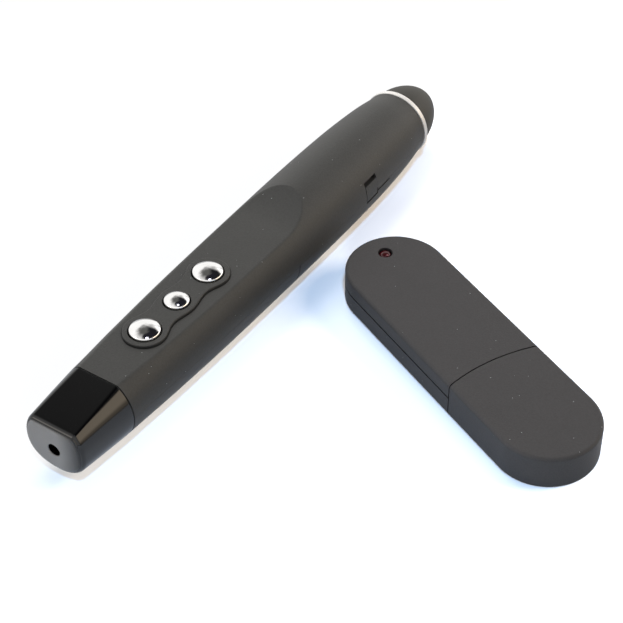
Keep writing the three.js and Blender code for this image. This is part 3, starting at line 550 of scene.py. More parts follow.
def flat_height(pen, x, inset):
    """Height of the flat top, and then of the thumb scoop, over the axis"""
    flat = pen.barrel_radius - pen.flat_depth
    if x < pen.nose_length:
        return mix(pen.face_rise, flat, max(x, 0.0) / pen.nose_length) - inset
    past = x - pen.nose_length - pen.flat_length
    if past <= 0:
        return flat - inset
    reach = pen.scoop_radius + inset
    if past >= reach:
        return flat + pen.scoop_radius
    return flat + pen.scoop_radius - math.sqrt(reach ** 2 - past ** 2)


def pen_ring(pen, x, inset=0.0):
    """One ring round the pen: the flat, its rounded edge and the side, then the same mirrored"""
    forward = min(max(x / pen.nose_length, 0.0), 1.0)
    radius = barrel_radius(pen, x)
    half = mix(pen.face_width / 2, radius, forward) - inset
    crown = mix(pen.face_crown, radius, forward) - inset
    drop = mix(pen.face_drop, radius, forward) - inset
    power = 2 / mix(pen.squareness, 2.0, forward)
    top = min(flat_height(pen, x, inset), crown * JUST_UNDER_ONE)
    turn = math.asin((top / crown) ** (1 / power))
    corner = half * math.cos(turn) ** power
    edge = min(pen.edge_round, corner / 2)

    def side(angle):
        up = math.sin(angle)
        reach = crown if up > 0 else drop
        return half * max(math.cos(angle), 0.0) ** power, reach * math.copysign(abs(up) ** power, up)

    first = turn - edge / crown
    low_y, low_z = side(first)
    points = [((corner - edge) * step / FLAT_POINTS, top) for step in range(FLAT_POINTS)]
    for step in range(EDGE_POINTS):
        share = step / EDGE_POINTS
        start, middle, end = (1 - share) ** 2, 2 * share * (1 - share), share ** 2
        points.append((
            start * (corner - edge) + middle * corner + end * low_y,
            (start + middle) * top + end * low_z,
        ))
    points += [side(mix(first, -math.pi / 2, step / SIDE_POINTS)) for step in range(SIDE_POINTS)]
    points.append((0.0, -drop))
    mirrored = [(-y, z) for y, z in reversed(points[1:-1])]
    return [pen_start + Vector((x, y, z)) for y, z in points + mirrored]


def pen_stations(pen, start, end):
    """Places of the rings: close together over the nose and where the scoop runs out"""
    nose_steps, body_steps, scoop_steps = 14, 90, 37
    scoop_pitch, least_pitch, clear_of_ends = mm(0.35), mm(0.12), mm(0.1)
    scoop = pen.nose_length + pen.flat_length
    places = [pen.nose_length * step / nose_steps for step in range(nose_steps + 1)]
    places += [pen.nose_length + pen.body_length * step / body_steps for step in range(1, body_steps + 1)]
    places += [scoop + scoop_pitch * step for step in range(scoop_steps + 1)]
    kept = []
    for place in sorted(places):
        inside = start + clear_of_ends < place < end - clear_of_ends
        if inside and (not kept or place - kept[-1] > least_pitch):
            kept.append(place)
    return kept


def pen_form(pen, name, start, end, inset=0.0, start_round=0.0, end_round=0.0):
    """The pen's form between two places, moved in by inset, with rounded ends where asked"""
    steps = 7
    start_turn = quarter(steps) if start_round else [(0.0, 0.0)]
    end_turn = quarter(steps) if end_round else [(0.0, 0.0)]
    places = [(start + start_round * back, inset + start_round * aside) for back, aside in start_turn]
    places += [(place, inset) for place in pen_stations(pen, start + start_round, end - end_round)]
    places += [(end - end_round * back, inset + end_round * aside) for back, aside in reversed(end_turn)]
    return loft(name, [pen_ring(pen, place, away) for place, away in places])


def pen_skin(pen, start, end):
    """The outermost layer of the pen between two places, as the form and what is cut from it"""
    outer = pen_form(pen, "outer", start, end, 0.0, pen.seam_round, pen.seam_round)
    return outer, pen_form(pen, "inner", start - BEYOND, end + BEYOND, pen.skin)


def cad_core(pen, node):
    """A CAD node's walls and inner features, cut back a little under the fine skin"""
    past_tail = pen.nose_length + pen.body_length + mm(20)
    under = pen_form(pen, "under", pen.skin / 2, past_tail, pen.skin / 2)
    return joined(node + "_core", welded(node), ("INTERSECT", under))


def across_pen(pen, name, start, end, low, high):
    """A box across the whole pen, from one height over the axis to another"""
    wide = pen.barrel_radius * 2
    return block(name, pen_start + Vector((start, -wide, low)), pen_start + Vector((end, wide, high)))


def key_places():
    """Middles of the three keys and their radii"""
    keys = bpy.context.scene.presenter_keys
    radii = {"front": keys.outer_radius, "middle": keys.middle_radius, "rear": keys.outer_radius}
    return {name: (middle("key_" + name).x - pen_start.x, radius) for name, radius in radii.items()}


def panel_ring(keys, inset, z):
    """Outline of the key panel: a round end at each outer key and a wave between the keys"""
    lobes = [(x, radius + keys.panel_margin) for x, radius in key_places().values()]
    waist = keys.panel_waist / 2
    steps = 48

    def round_end(lobe, away):
        """A quarter of the lobe's outline, from the panel's end to the lobe's side"""
        x, reach = lobe
        return [(x + away * reach * (1 - back), reach * (1 - aside)) for back, aside in quarter(steps)]

    half = round_end(lobes[0], -1)
    for (x, reach), (next_x, next_reach) in zip(lobes, lobes[1:]):
        for step in range(1, steps + 1):
            share = step / steps
            nearer = reach if share < 0.5 else next_reach
            swell = (1 + math.cos(2 * math.pi * share)) / 2
            half.append((mix(x, next_x, share), waist + (nearer - waist) * swell))
    half += round_end(lobes[-1], 1)[-2::-1]
    outline = half + [(x, -y) for x, y in reversed(half[1:-1])]
    points = []
    for index, (x, y) in enumerate(outline):
        before, after = outline[index - 1], outline[(index + 1) % len(outline)]
        along = Vector((after[0] - before[0], after[1] - before[1])).normalized()
        points.append(pen_start + Vector((x + along.y * inset, y - along.x * inset, z)))
    return points


class PRESENTER_OT_nose(bpy.types.Operator):
    """Make the gloss nose cap with its satin face and aperture"""

    bl_idname = "presenter.nose"
    bl_label = "Nose cap"

    def execute(self, context):
        pen = context.scene.presenter_pen
        colours = context.scene.presenter_finishes
        end = pen.nose_length - pen.seam / 2
        outer = pen_form(pen, "outer", 0.0, end, 0.0, pen.face_edge, pen.seam_round)
        inner = pen_form(pen, "inner", pen.skin, pen.nose_length + BEYOND, pen.skin)
        aim = pen_start - Vector((0, 0, pen.laser_drop))
        lead, depth = mm(0.2), mm(6)
        hole = turned("aperture", [
            (-lead, pen.aperture_radius + 2 * lead),
            (lead, pen.aperture_radius),
            (depth, pen.aperture_radius),
        ], 72, aim, (1, 0, 0))
        core = cad_core(pen, "nose_cap")
        cap = joined("nose_shell", outer, ("DIFFERENCE", inner), ("UNION", core), ("DIFFERENCE", hole))
        # ABS, polished in the mould: deep black with mirror reflections. The face is etched to a satin
        # grey, which fades out over the rounded edge. The pale grey is partly painted light, and it is
        # darkened towards one side as painted shade
        gloss, tree, where = new_material("polished_black_abs")
        along = split(tree, where)
        painted_shade_side, painted_light_side = pen_start.y - mm(7.5), pen_start.y - mm(0.5)
        # Painted shade: the satin grey falls to black towards the face's shaded side
        side = ranged(tree, along["Y"], painted_shade_side, painted_light_side, soft=True)
        satin = vectors(tree, "MULTIPLY", toned(tree, where, colours.nose_face, 0.05, 3), side)
        clear_from, etched_to = pen_start.x + mm(0.3), pen_start.x + mm(0.04)
        etched = ranged(tree, along["X"], clear_from, etched_to, soft=True)
        bloom = noise(tree, where, 5, Detail=5.0)
        colour = blended(tree, etched, toned(tree, where, colours.gloss_black, 0.08, 6), satin)
        clear = ranged(tree, bloom, 0, 1, 0.04, 0.1)
        rough = add(tree, "ShaderNodeMix", {0: etched, 2: clear, 3: 0.36}).outputs[0]
        end_material(tree, colour, rough, bloom, 0.004)
        finished(smooth(cap, 32), "pen", "gloss_black", [gloss], "nose_cap")
        return {"FINISHED"}


class PRESENTER_OT_housings(bpy.types.Operator):
    """Make the upper housing with the key panel, the lower housing and the battery door"""

    bl_idname = "presenter.housings"
    bl_label = "Housings and battery door"

    def execute(self, context):
        pen = context.scene.presenter_pen
        # Rubber-like paint over ABS, sprayed: matt, with a fine orange-peel grain, and it holds dust
        colours = context.scene.presenter_finishes
        soft = moulded(
            "soft_touch_paint", colours.soft_charcoal, 0.52, 0.4, 0.03, colours.dust, 0.07, 0.04, 0.35,
        )
        half = pen.seam / 2
        start = pen.nose_length + half
        under_ring = mm(0.08)
        end = pen.nose_length + pen.body_length + under_ring
        # The seam shows in the middle of the clearance before the door
        half_clearance = mm(0.15)
        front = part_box("battery_door")[0].x - pen_start.x - half_clearance
        made = self.upper(pen, context.scene.presenter_keys, start, end)
        finished(smooth(made, 32), "pen", "soft_charcoal", [soft], "upper_housing")
        made = joined("lower_shell", *self.under_half(pen, start, front - half, "lower_housing"))
        finished(smooth(made, 32), "pen", "soft_charcoal", [soft], "lower_housing")
        made = self.door(pen, front + half, end)
        finished(smooth(made, 32), "door", "soft_charcoal", [soft], "battery_door")
        return {"FINISHED"}

    def upper(self, pen, keys, start, end):
        """The upper half, with the key panel in its moat, the key holes and the latch windows"""
        far = pen.barrel_radius * 2
        outer, inner = pen_skin(pen, start, end)
        flat = pen.barrel_radius - pen.flat_depth
        top = flat + keys.panel_rise
        over_flat, under_keys = mm(0.1), mm(5.5)
        moat = [panel_ring(keys, -keys.moat, z) for z in (flat - 2 * keys.moat, flat + over_flat)]
        rings = [panel_ring(keys, 0.0, flat - pen.skin)]
        rings += [
            panel_ring(keys, keys.panel_round * back, top - keys.panel_round * aside)
            for back, aside in quarter(5)
        ]
        latch_start, latch_end, latch_top = latch_places()
        # As start, end, low and high
        window = latch_start - mm(0.2), latch_end + mm(0.005), -mm(3), latch_top + mm(0.7)
        steps = [
            ("DIFFERENCE", inner),
            ("INTERSECT", across_pen(pen, "above", start - far, end + far, pen.parting / 2, far)),
            ("UNION", cad_core(pen, "upper_housing")),
            ("DIFFERENCE", loft("moat", moat)),
            ("UNION", loft("panel", rings)),
        ]
        for x, radius in key_places().values():
            place = pen_start + Vector((x, 0, 0))
            bore = radius + keys.hole_gap
            hole = turned("hole", [(under_keys, bore), (far, bore)], 96, place, (0, 0, 1))
            steps.append(("DIFFERENCE", hole))
        steps.append(("DIFFERENCE", across_pen(pen, "windows", *window)))
        return joined("upper_shell", outer, *steps)

    def under_half(self, pen, start, end, node):
        """The form and the first steps of a piece under the parting line"""
        far = pen.barrel_radius * 2
        outer, inner = pen_skin(pen, start, end)
        return [
            outer,
            ("DIFFERENCE", inner),
            ("INTERSECT", across_pen(pen, "below", start - far, end + far, -far, -pen.parting / 2)),
            ("UNION", cad_core(pen, node)),
        ]

    def door(self, pen, start, end):
        """The battery door, with a snap latch each side: a stepped tab with a groove round it"""
        latch_start, latch_end, latch_top = latch_places()
        step_height = latch_top - mm(0.45)
        groove_depth = mm(0.5)
        tabs = joined(
            "tabs", pen_form(pen, "tabs", latch_start, latch_end, mm(0.01)),
            ("DIFFERENCE", pen_form(pen, "inner", latch_start - mm(1), latch_end + mm(1), pen.skin)),
            ("INTERSECT", across_pen(pen, "level", latch_start, latch_end, -mm(0.62), step_height)),
        )
        # Boxes across the pen, as start, end, low and high
        over = latch_start - mm(1), latch_end + mm(1), step_height, pen.barrel_radius * 2
        level = latch_start - mm(0.2), latch_end + mm(0.1), -mm(1.2), mm(1)
        grooves = joined(
            "grooves", pen_form(pen, "grooves", latch_start - mm(1), latch_end + mm(8), -mm(1)),
            ("DIFFERENCE", pen_form(pen, "inner", latch_start - mm(2), latch_end + mm(9), groove_depth)),
            ("INTERSECT", across_pen(pen, "level", *level)),
        )
        notch = latch_end - mm(0.25), latch_end + mm(0.1), -mm(1.1), mm(0.7)
        parting = latch_end, latch_end + mm(5.5), -mm(0.42), mm(1)
        return joined(
            "door_shell", *self.under_half(pen, start, end, "battery_door"),
            ("DIFFERENCE", across_pen(pen, "over_tabs", *over)),
            ("DIFFERENCE", grooves),
            ("UNION", tabs),
            ("DIFFERENCE", across_pen(pen, "notch", *notch)),
            ("DIFFERENCE", across_pen(pen, "parting", *parting)),
        )


def latch_places():
    """Start, end and top of the latches"""
    over = [point for point in from_pen_start("battery_door") if point.z > mm(0.5)]
    return min(p.x for p in over), max(p.x for p in over), max(p.z for p in over)


class PRESENTER_OT_keys(bpy.types.Operator):
    """Make the three domed keys"""

    bl_idname = "presenter.keys"
    bl_label = "Keys"

    def execute(self, context):
        pen = context.scene.presenter_pen
        keys = context.scene.presenter_keys
        # Chromium over nickel on ABS, bright plated: a clear mirror with hairline handling marks
        chrome = metal("bright_chrome_plate", context.scene.presenter_finishes.chrome, 0.06, 0.9, 0.005)
        tree = key_tree()
        flat = pen.barrel_radius - pen.flat_depth
        for name, (x, radius) in key_places().items():
            low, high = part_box("key_" + name)
            made = grown("domed_key_" + name, tree, {
                "Middle": pen_start + Vector((x, 0, 0)),
                "Radius": radius,
                "Dome": keys.dome,
                "Rim": flat + keys.panel_rise + keys.rim,
                "Rim Round": keys.rim_round,
                "Foot": low.z - pen_start.z,
                "Flange Radius": (high.x - low.x) / 2,
                "Finish": chrome,
            })
            finished(smooth(made, 40), "{}_key".format(name), "chrome", [chrome], "key_" + name)
        return {"FINISHED"}


def key_tree():
    """A turned key: a domed button on a flange and a stem"""
    tree, given = geometry_tree(
        "domed_key", ["Middle"], ["Radius", "Dome", "Rim", "Rim Round", "Foot", "Flange Radius"],
    )
    radius, dome, rim_round = given["Radius"], given["Dome"], given["Rim Round"]
    flange_start, flange_depth = mm(0.5), mm(0.7)
    stem_radius, stem_depth = mm(1.3), mm(0.8)
    flange_low = maths(tree, "ADD", given["Foot"], flange_start)
    depth = maths(tree, "SUBTRACT", given["Rim"], flange_low)
    button = cylinder(tree, 120, radius, depth, 40)
    out = from_axis(tree, split(tree, add(tree, "GeometryNodeInputPosition").outputs[0]))
    # Radius of the sphere that the dome is part of
    squares = maths(tree, "ADD", squared(tree, radius), squared(tree, dome))
    sphere = maths(tree, "DIVIDE", squares, maths(tree, "MULTIPLY", dome, 2.0))
    rise = maths(tree, "SQRT", maths(tree, "SUBTRACT", squared(tree, sphere), squared(tree, out)))
    rise = maths(tree, "SUBTRACT", rise, maths(tree, "SUBTRACT", sphere, dome))
    # The rim's rounding, over the outermost rings
    past = maths(tree, "SUBTRACT", out, maths(tree, "SUBTRACT", radius, rim_round))
    past = maths(tree, "MAXIMUM", past, 0.0)
    left = maths(tree, "SUBTRACT", squared(tree, rim_round), squared(tree, past))
    fall = maths(tree, "SUBTRACT", rim_round, maths(tree, "SQRT", maths(tree, "MAXIMUM", left, 0.0)))
    domed = add(tree, "GeometryNodeSetPosition", {
        "Geometry": button["Mesh"], "Selection": button["Top"],
        "Offset": upright(tree, maths(tree, "SUBTRACT", rise, fall)),
    })
    half_way = maths(tree, "ADD", flange_low, maths(tree, "MULTIPLY", depth, 0.5))
    flange = cylinder(tree, 72, given["Flange Radius"], flange_depth)["Mesh"]
    stem = cylinder(tree, 48, stem_radius, stem_depth)["Mesh"]
    whole = combined(tree, "UNION", [
        raised(tree, domed.outputs[0], half_way),
        raised(tree, flange, maths(tree, "ADD", flange_low, flange_depth / 2)),
        raised(tree, stem, maths(tree, "ADD", given["Foot"], stem_depth / 2)),
    ])
    return end_tree(tree, moved(tree, whole, given["Middle"]), given["Finish"])


class PRESENTER_OT_tail(bpy.types.Operator):
    """Make the bright tail ring and the bullet-shaped tail cap"""

    bl_idname = "presenter.tail"
    bl_label = "Tail ring and cap"

    def execute(self, context):
        colours = context.scene.presenter_finishes
        # In view the ring is a little narrower than its solid
        front_gap, back_gap = mm(0.15), mm(0.2)
        start, end = ring_low.x - pen_start.x + front_gap, ring_high.x - pen_start.x - back_gap
        outer = (ring_high.y - ring_low.y) / 2
        bore = min(math.hypot(point.y, point.z) for point in from_pen_start("tail_ring"))
        edge = mm(0.2)
        profile = [(start, bore)]
        profile += [(start + edge * back, outer - edge * aside) for back, aside in quarter(6)]
        profile += [(end - edge * back, outer - edge * aside) for back, aside in reversed(quarter(6))]
        profile.append((end, bore))
        ring = turned("bright_ring", profile, 160, pen_start, (1, 0, 0), hollow=True)
        # Aluminium, turned and anodised silver: the clear layer scatters part of the light, so the ring
        # looks nearly white all round
        bright = metal("silver_anodised_aluminium", colours.ring, 0.42, 0.3, 0.0008, (3, 0.2, 0.2), 0.3)
        finished(smooth(ring, 35), "pen", "chrome", [bright], "tail_ring")

        # ABS, moulded with a fine grain: a dead matt, slightly green grey
        grey = moulded("grained_grey_abs", colours.tail_grey, 0.6, 0.22, 0.012)
        points = from_pen_start("tail_cap")
        seat = (tail_high.y - tail_low.y) / 2
        front = max(point.x for point in points if math.hypot(point.y, point.z) > seat * 0.999)
        made = grown("bullet_cap", tail_tree(), {
            "Start": pen_start + Vector((front, 0, 0)),
            "Seat Radius": seat,
            "Length": tail_high.x - pen_start.x - front,
            "Fullness": 1.8,
            "Spigot Radius": mm(4.4),
            "Spigot Length": front - min(point.x for point in points),
            "Finish": grey,
        })
        finished(smooth(made, 40), "pen", "tail_grey", [grey], "tail_cap")
        return {"FINISHED"}


def tail_tree():
    """The tail cap: the disc end of a cylinder drawn out to a superellipse, on a spigot"""
    tree, given = geometry_tree(
        "bullet_cap", ["Start"], ["Seat Radius", "Length", "Fullness", "Spigot Radius", "Spigot Length"],
    )
    seat = given["Seat Radius"]
    disc_depth = mm(0.2)
    overlap = mm(0.15)
    least = 1e-9
    disc = cylinder(tree, 144, seat, disc_depth, 64)
    apart = split(tree, add(tree, "GeometryNodeInputPosition").outputs[0])
    out = from_axis(tree, apart)
    angle = maths(tree, "MULTIPLY", maths(tree, "DIVIDE", out, seat), math.pi / 2)
    power = maths(tree, "DIVIDE", 2.0, given["Fullness"])
    reach, rise = (
        maths(tree, "POWER", maths(tree, "MAXIMUM", maths(tree, kind, angle), 0.0), power)
        for kind in ("SINE", "COSINE")
    )
    spread = maths(tree, "DIVIDE", maths(tree, "MULTIPLY", reach, seat), maths(tree, "MAXIMUM", out, least))
    height = maths(tree, "MULTIPLY", rise, maths(tree, "SUBTRACT", given["Length"], disc_depth))
    place = add(tree, "ShaderNodeCombineXYZ", {
        "X": maths(tree, "MULTIPLY", apart["X"], spread),
        "Y": maths(tree, "MULTIPLY", apart["Y"], spread),
        "Z": maths(tree, "ADD", height, disc_depth / 2),
    })
    drawn = add(tree, "GeometryNodeSetPosition", {
        "Geometry": disc["Mesh"], "Selection": disc["Top"], "Position": place.outputs[0],
    })
    length = maths(tree, "ADD", given["Spigot Length"], overlap)
    spigot = cylinder(tree, 72, given["Spigot Radius"], length)["Mesh"]
    whole = combined(tree, "UNION", [
        raised(tree, drawn.outputs[0], disc_depth / 2),
        raised(tree, spigot, maths(tree, "SUBTRACT", overlap, maths(tree, "MULTIPLY", length, 0.5))),
    ])
    return end_tree(tree, moved(tree, whole, given["Start"], LENGTHWISE), given["Finish"])


# The receiver's form: u runs towards the cap, v across, z up
def receiver_point(receiver, u, v, z):
    return receiver_middle + Matrix.Rotation(receiver.turn, 3, "Z") @ Vector((u, v, z))


def receiver_ring(receiver, inset, z):
    """The outline, a bar with two round ends, moved in by inset"""
    radius = receiver.width / 2 - inset
    reach = receiver.length / 2 - receiver.width / 2
    points = []
    steps = 56
    for end, first in ((1, -math.pi / 2), (-1, math.pi / 2)):
        for step in range(steps + 1):
            angle = first + step / steps * math.pi
            u, v = end * reach + radius * math.cos(angle), radius * math.sin(angle)
            points.append(receiver_point(receiver, u, v, z))
    return points


def receiver_form(receiver, name, inset=0.0):
    """The receiver's outer form moved in by inset, with its rounded upper and lower edges"""
    edge = max(receiver.edge - inset, mm(0.02))
    top = receiver.thickness - inset
    places = [(inset + edge * aside, inset + edge * back) for back, aside in quarter(8)]
    places += [(inset + edge * aside, top - edge * back) for back, aside in reversed(quarter(8))]
    return loft(name, [receiver_ring(receiver, away, z) for away, z in places])


def cap_side(receiver, name, setback, low=-mm(2)):
    """Everything on the cap's side of the curved seam, from a height upwards"""
    start = receiver.length / 2 - receiver.cap_length
    radius = receiver.cap_arc + setback
    beyond = mm(2)
    over = receiver.width / 2 + beyond
    spread = math.asin(over / radius)
    steps = 96
    outline = []
    for step in range(steps + 1):
        angle = math.pi - spread + 2 * spread * step / steps
        outline.append((start + receiver.cap_arc + radius * math.cos(angle), radius * math.sin(angle)))
    outline += [(receiver.length, -over), (receiver.length, over)]
    heights = (low, receiver.thickness + beyond)
    return loft(name, [[receiver_point(receiver, u, v, z) for u, v in outline] for z in heights])


def receiver_block(receiver, name, low, high):
    return block(name, low, high, receiver.turn, receiver_middle)


class PRESENTER_OT_receiver(bpy.types.Operator):
    """Make the receiver's two shells, its cap and its lamp"""

    bl_idname = "presenter.receiver"
    bl_label = "Receiver"

    def execute(self, context):
        receiver = context.scene.presenter_receiver
        colours = context.scene.presenter_finishes
        # ABS, moulded in a spark-eroded tool: an even fine grain that takes the shine off
        grained = moulded(
            "spark_grained_abs", colours.receiver_grey, 0.6, 0.35, 0.035, colours.dust, 0.06, 0.02, 0.4,
        )
        far = receiver.length
        half = receiver.groove / 2
        core_share = 0.85
        stop = mm(0.03)
        shells = {"top": (receiver.parting + half, far), "bottom": (-far, receiver.parting - half)}
        for name, (low, high) in shells.items():
            node = "receiver_{}_shell".format(name)
            under = receiver_form(receiver, "under", receiver.skin * core_share)
            core = joined(node + "_core", welded(node), ("INTERSECT", under))
            steps = [
                ("DIFFERENCE", receiver_form(receiver, "inner", receiver.skin)),
                ("INTERSECT", receiver_block(receiver, "level", (-far, -far, low), (far, far, high))),
                # The underside meets the cap, so that the seam isn't seen through from above
                ("DIFFERENCE", cap_side(receiver, "seam", receiver.seam, mm(0.5))),
                ("DIFFERENCE", cap_side(receiver, "stop", stop)),
                ("UNION", core),
            ]
            if name == "top":
                steps.append(("DIFFERENCE", self.lamp_hole(receiver)))
            shell = joined("shell_" + name, receiver_form(receiver, "outer"), *steps)
            self.lit(finished(smooth(shell, 32), "receiver", "receiver_grey", [grained], node))

        pocket_half, pocket_low, pocket_high = mm(6.3), mm(1.75), mm(6.85)
        pocket_end = receiver.length / 2 - mm(3) - receiver.width / 2
        corners = (-far, -pocket_half, pocket_low), (pocket_end, pocket_half, pocket_high)
        cap = joined(
            "cap_shell", receiver_form(receiver, "outer"),
            ("INTERSECT", cap_side(receiver, "seam", 0.0)),
            ("DIFFERENCE", receiver_block(receiver, "pocket", *corners)),
        )
        self.lit(finished(smooth(cap, 32), "cap", "receiver_grey", [grained], "receiver_cap"))
        self.lamp(receiver, colours)
        return {"FINISHED"}

    def lit(self, made):
        """Puts a piece under the receiver's own lamp"""
        bpy.data.collections["lit_receiver"].objects.link(made)

    def lamp_hole(self, receiver):
        """The lamp's hole, with a bevel at its mouth"""
        bore = receiver.lamp_radius + mm(0.3)
        bevel = mm(0.16)
        return turned("lamp_hole", [
            (receiver.parting + mm(1), bore),
            (receiver.thickness - mm(0.06), bore),
            (receiver.thickness + mm(0.1), bore + bevel),
        ], 72, (*middle("receiver_lamp").xy, 0), (0, 0, 1))

    def lamp(self, receiver, colours):
        """The lamp's dome over its straight foot"""
        place = Vector((*middle("receiver_lamp").xy, 0))
        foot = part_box("receiver_lamp")[0].z
        # Epoxy, cast dark red over the emitter. A pale broken ring is painted into its colour: the rim of
        # the emitter's polished cup, made pale so that it also stands as a painted highlight ring. The
        # domed top has sharp highlights
        red, tree, where = new_material("cast_red_epoxy")
        flat = vectors(tree, "MULTIPLY", vectors(tree, "SUBTRACT", where, place), (1, 1, 0))
        rim_radius = mm(0.82)
        off = maths(tree, "ABSOLUTE", maths(tree, "SUBTRACT", vectors(tree, "LENGTH", flat), rim_radius))
        broken = ranged(tree, noise(tree, where, 0.9), 0.5, 0.66)
        # Painted highlight: the pale ring round the middle, broken by noise
        cup = maths(tree, "MULTIPLY", ranged(tree, off, mm(0.24), mm(0.04)), broken)
        colour = blended(tree, cup, toned(tree, where, colours.lamp_red, 0.3, 1.2), colours.lamp_cup_highlight)
        end_material(tree, colour, 0.08, more={"IOR": 1.5})
        radius = receiver.lamp_radius
        top = receiver.thickness - receiver.lamp_recess
        profile = [(foot, POLE), (foot, radius)]
        profile += [
            (top - receiver.lamp_rise * aside, max(radius * (1 - back), POLE))
            for back, aside in quarter(12)
        ]
        dome = turned("lamp_dome", profile, 56, place, (0, 0, 1))
        finished(smooth(dome, 40), "receiver", "lamp_red", [red], "receiver_lamp")


class PRESENTER_OT_plug(bpy.types.Operator):
    """Dress the USB plug and make its four contacts"""

    bl_idname = "presenter.plug"
    bl_label = "USB plug"

    def execute(self, context):
        receiver = context.scene.presenter_receiver
        colours = context.scene.presenter_finishes
        # Steel strip, folded and nickel plated: bright, with the rolling marks along the plug
        nickel = metal("nickel_plated_strip", colours.nickel, 0.2, 0.6, 0.002)
        # Glass-filled polymer, moulded: milky, half matt
        white = moulded("natural_lcp", colours.natural_white, 0.42, 0.3, 0.006, None, 0.03)
        dress(nickel, "usb_plug_shell")
        dress(white, "usb_plug_tongue")
        # Phosphor bronze, gold plated: warm and bright
        gold = metal("gold_plate", colours.gold, 0.18, 0.3, 0.0008)
        names = ["usb_contact_{}".format(step) for step in range(1, 5)]
        low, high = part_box(names[0])
        first = middle(names[0])
        made = grown("plug_contacts", contact_tree(), {
            "First": first,
            "Pitch": (middle(names[3]) - first) / 3,
            "Length": mm(7.5),
            "Width": mm(1.1),
            "Thickness": high.z - low.z,
            "Turn": receiver.turn,
            "Finish": gold,
        })
        finished(smooth(made, 35), "receiver", "gold", [gold], *names)
        return {"FINISHED"}


def contact_tree():
    """Four contact strips in a row, each a flat bar with a narrowed nose"""
    tree, given = geometry_tree("contact_row", ["First", "Pitch"], ["Length", "Width", "Thickness", "Turn"])
    row = add(tree, "GeometryNodeMeshLine", {
        "Count": 4, "Start Location": given["First"], "Offset": given["Pitch"],
    })
    extent = add(tree, "ShaderNodeCombineXYZ", {
        "X": given["Length"], "Y": given["Width"], "Z": given["Thickness"],
    })
    bar = add(tree, "GeometryNodeMeshCube", {
        "Size": extent.outputs[0], "Vertices X": 25, "Vertices Y": 2, "Vertices Z": 2,
    })
    # The last millimetre narrows, as the strip's nose dips into the tongue
    nose_from = mm(2.7)
    here = add(tree, "GeometryNodeInputPosition").outputs[0]
    half = maths(tree, "MULTIPLY", given["Length"], 0.5)
    narrow = ranged(tree, split(tree, here)["X"], nose_from, half, 1.0, 0.55)
    scale = add(tree, "ShaderNodeCombineXYZ", {"X": 1.0, "Y": narrow, "Z": 1.0}).outputs[0]
    shaped = add(tree, "GeometryNodeSetPosition", {
        "Geometry": bar.outputs["Mesh"], "Position": vectors(tree, "MULTIPLY", here, scale),
    })
    spin = add(tree, "ShaderNodeCombineXYZ", {"Z": given["Turn"]})
    placed = add(tree, "GeometryNodeInstanceOnPoints", {
        "Points": row.outputs["Mesh"], "Instance": shaped.outputs[0], "Rotation": spin.outputs[0],
    })
    return end_tree(tree, placed.outputs[0], given["Finish"])


def dress(material, *nodes):
    """Gives carried-over CAD nodes a material"""
    for node in nodes:
        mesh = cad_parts[node].data
        mesh.materials.clear()
        mesh.materials.append(material)


class PRESENTER_OT_electronics(bpy.types.Operator):
    """Dress the boards, chips, switches and the laser module"""

    bl_idname = "presenter.electronics"
    bl_label = "Electronics and laser"

    def execute(self, context):
        colours = context.scene.presenter_finishes
        # Glass-epoxy board under green solder mask: copper runs show through as paler lines
        board, tree, where = new_material("solder_mask_board")
        green = colours.board_green
        lanes = add(tree, "ShaderNodeTexBrick", {
            "Vector": where, "Scale": per_metre(6),
            "Mortar Size": 0.03, "Brick Width": 0.7, "Row Height": 0.22,
            "Color1": green, "Color2": scaled(green, 0.8), "Mortar": scaled(green, 2.2),
        }).outputs
        end_material(tree, lanes["Color"], 0.35, lanes["Fac"], 0.03)
        dress(board, "circuit_board", "receiver_board")
        # Epoxy package, moulded: dull black with a fine grain
        epoxy = moulded("moulded_epoxy", colours.inner_black, 0.55, 0.15, 0.008)
        dress(epoxy, "radio_chip", "receiver_chip", "boost_inductor")
        # Glass-filled nylon, moulded: dark, slightly rough
        nylon = moulded("black_nylon", colours.inner_black, 0.5, 0.3, 0.012)
        dress(nylon, "switch_body_front", "switch_body_middle", "switch_body_rear", "battery_cradle")
        # Undyed acetal, moulded: white and a little waxy
        acetal = moulded("white_acetal", colours.natural_white, 0.4, 0.4, 0.004)
        dress(acetal, "switch_plunger_front", "switch_plunger_middle", "switch_plunger_rear")
        # Nickel-plated steel, drawn: the can of the crystal and of the laser diode
        can = metal("drawn_nickel_can", colours.nickel, 0.25, 0.5, 0.002)
        dress(can, "clock_crystal", "receiver_crystal", "laser_diode")
        # Brass, turned: fine rings round the axis
        brass = metal("turned_brass", colours.brass, 0.28, 0.25, 0.002, (4, 0.3, 0.3))
        dress(brass, "laser_barrel")
        # Acrylic lens, moulded: clear with a faint red coating
        lens, tree, where = new_material("coated_acrylic")
        pink = toned(tree, where, linear("d9c2c4"), 0.03, 2)
        end_material(tree, pink, 0.04, more={"Transmission Weight": 0.8, "IOR": 1.49})
        dress(lens, "laser_lens")
        return {"FINISHED"}


